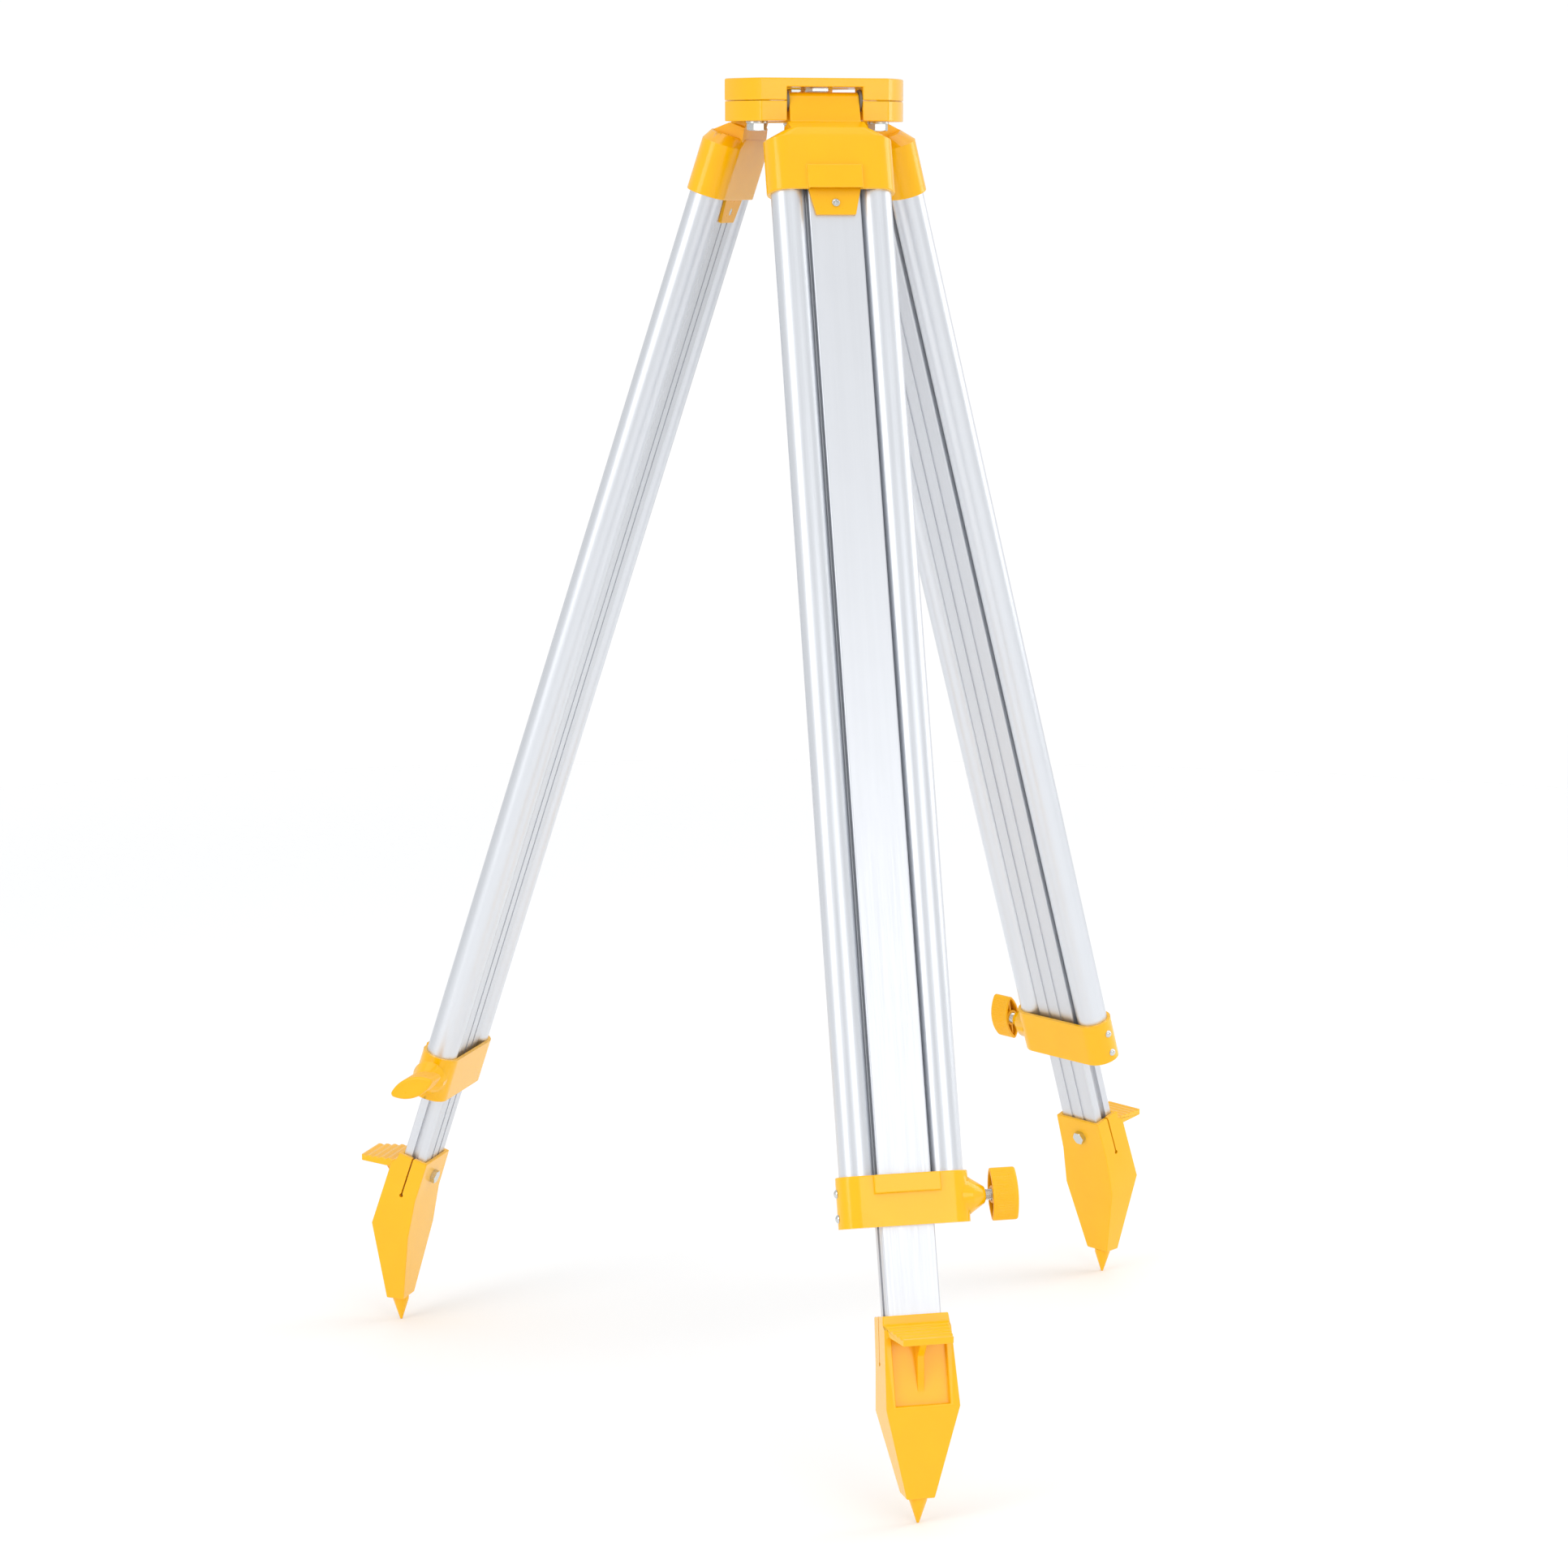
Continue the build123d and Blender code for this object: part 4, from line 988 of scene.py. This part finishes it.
class TRIPOD_OT_stage(bpy.types.Operator):
    """Make the floor, the soft studio lights and the camera"""
    bl_idname = "tripod.stage"
    bl_label = "Stage"

    def execute(self, context):
        self.floor()
        self.lights()
        self.camera()
        return {"FINISHED"}

    def floor(self):
        bm = bmesh.new()
        for x, y, z in circle(FLOOR_RADIUS, cad_box[0].z, 96):
            bm.verts.new((x, y, z))
        bm.faces.new(bm.verts)
        mesh = bpy.data.meshes.new("floor")
        bm.to_mesh(mesh)
        bm.free()
        floor = bpy.data.objects.new("floor", mesh)
        bpy.context.scene.collection.objects.link(floor)
        pale = bpy.data.materials.new("Floor")
        pale.use_nodes = True
        tree = pale.node_tree
        shader = tree.nodes["Principled BSDF"]
        shader.inputs["Base Color"].default_value = (0.95, 0.95, 0.95, 1)
        shader.inputs["Roughness"].default_value = 0.7
        shader.inputs["Specular IOR Level"].default_value = 0.2
        away = node(tree, "ShaderNodeVectorMath", operation="LENGTH")
        tree.links.new(object_points(tree), away.inputs[0])
        fade = node(tree, "ShaderNodeMapRange", {"From Min": FLOOR_FADE[0], "From Max": FLOOR_FADE[1]},
                    interpolation_type="SMOOTHSTEP")
        tree.links.new(away.outputs["Value"], fade.inputs["Value"])
        below = node(tree, "ShaderNodeNewGeometry").outputs["Backfacing"]
        gone = maths(tree, "MAXIMUM", fade.outputs["Result"], below)
        clear = node(tree, "ShaderNodeBsdfTransparent")
        blend = node(tree, "ShaderNodeMixShader")
        tree.links.new(gone, blend.inputs[0])
        tree.links.new(shader.outputs[0], blend.inputs[1])
        tree.links.new(clear.outputs[0], blend.inputs[2])
        tree.links.new(blend.outputs[0], tree.nodes["Material Output"].inputs[0])
        floor.data.materials.append(pale)

    def lights(self):
        world = bpy.data.worlds.new("Studio")
        bpy.context.scene.world = world
        world.use_nodes = True
        tree = world.node_tree
        back = tree.nodes["Background"]
        back.inputs["Color"].default_value = (0.98, 0.99, 1.0, 1)
        back.inputs["Strength"].default_value = 0.80
        seen = node(tree, "ShaderNodeBackground", {"Color": (1, 1, 1, 1), "Strength": 1.02})
        path = node(tree, "ShaderNodeLightPath")
        mix = node(tree, "ShaderNodeMixShader")
        tree.links.new(path.outputs["Is Camera Ray"], mix.inputs[0])
        tree.links.new(back.outputs[0], mix.inputs[1])
        tree.links.new(seen.outputs[0], mix.inputs[2])
        tree.links.new(mix.outputs[0], tree.nodes["World Output"].inputs[0])
        self.area("front_box", (0.80, -3.0, 0.30), (0, -0.3, -0.7), 1.6, 1.1, 10)
        self.area("left_box", (-2.4, -1.2, 0.5), (0, 0, -0.45), 1.1, 1.9, 16)
        self.area("right_box", (2.3, 0.2, 0.4), (0, 0, -0.45), 1.1, 1.9, 13)
        sky = bpy.data.lights.new("overhead", "SUN")
        sky.energy, sky.angle = 0.65, radians(70)
        lamp = bpy.data.objects.new("overhead", sky)
        lamp.rotation_euler = (radians(12), 0, radians(20))
        bpy.context.scene.collection.objects.link(lamp)

    def area(self, name, place, aim, width, height, power):
        data = bpy.data.lights.new(name, "AREA")
        data.shape = "RECTANGLE"
        data.size, data.size_y = width, height
        data.energy = power
        lamp = bpy.data.objects.new(name, data)
        lamp.location = place
        lamp.visible_camera = False
        lamp.rotation_euler = (Vector(aim) - Vector(place)).to_track_quat("-Z", "Y").to_euler()
        bpy.context.scene.collection.objects.link(lamp)

    def camera(self):
        """Stands in front, a little to the left of the front leg, nearly level with the head."""
        distance, height, bearing = 2.6766, 0.93, 0.2275
        pan, tilt, roll = 0.0068 - bearing, 0.1886, 0.0017
        data = bpy.data.cameras.new("camera")
        data.sensor_width = 36.0
        data.lens = 80.39
        data.shift_y = 0.04
        data.clip_start, data.clip_end = 0.05, 60
        camera = bpy.data.objects.new("camera", data)
        position = Vector((-distance * sin(bearing), -distance * cos(bearing), cad_box[0].z + height))
        level = Matrix.Rotation(pan, 4, "Z") @ Matrix.Rotation(pi / 2 - tilt, 4, "X")
        turn = level @ Matrix.Rotation(roll, 4, "Z")
        camera.matrix_world = Matrix.Translation(position) @ turn
        bpy.context.scene.view_settings.view_transform = "Standard"
        bpy.context.scene.collection.objects.link(camera)
        bpy.context.scene.camera = camera


class TRIPOD_PT_sidebar(bpy.types.Panel):
    """Sizes, colours and pieces of the tripod"""
    bl_idname = "TRIPOD_PT_sidebar"
    bl_label = "Tripod"
    bl_space_type = "VIEW_3D"
    bl_region_type = "UI"
    bl_category = "Tripod"

    def draw(self, context):
        layout = self.layout
        for group in (context.scene.tripod_sizes, context.scene.tripod_colours):
            for prop in group.bl_rna.properties:
                if prop.identifier not in ("rna_type", "name"):
                    layout.prop(group, prop.identifier)
        for step in STEPS:
            layout.operator(step.bl_idname)


STEPS = (TRIPOD_OT_effects, TRIPOD_OT_head, TRIPOD_OT_corner_bolts, TRIPOD_OT_centring, TRIPOD_OT_tubes,
         TRIPOD_OT_hinge_caps, TRIPOD_OT_guide_screws, TRIPOD_OT_clamps, TRIPOD_OT_clamp_screws,
         TRIPOD_OT_clamp_knobs, TRIPOD_OT_feet, TRIPOD_OT_stage)
CLASSES = (TripodSizes, TripodColours, *STEPS, TRIPOD_PT_sidebar)


def register():
    for cls in CLASSES:
        bpy.utils.register_class(cls)
    bpy.types.Scene.tripod_sizes = bpy.props.PointerProperty(type=TripodSizes)
    bpy.types.Scene.tripod_colours = bpy.props.PointerProperty(type=TripodColours)


def unregister():
    del bpy.types.Scene.tripod_colours
    del bpy.types.Scene.tripod_sizes
    for cls in reversed(CLASSES):
        bpy.utils.unregister_class(cls)


def main():
    register()
    for step in STEPS:
        name = step.bl_idname.split(".")[1]
        getattr(bpy.ops.tripod, name)()


if __name__ == "__main__":
    main()
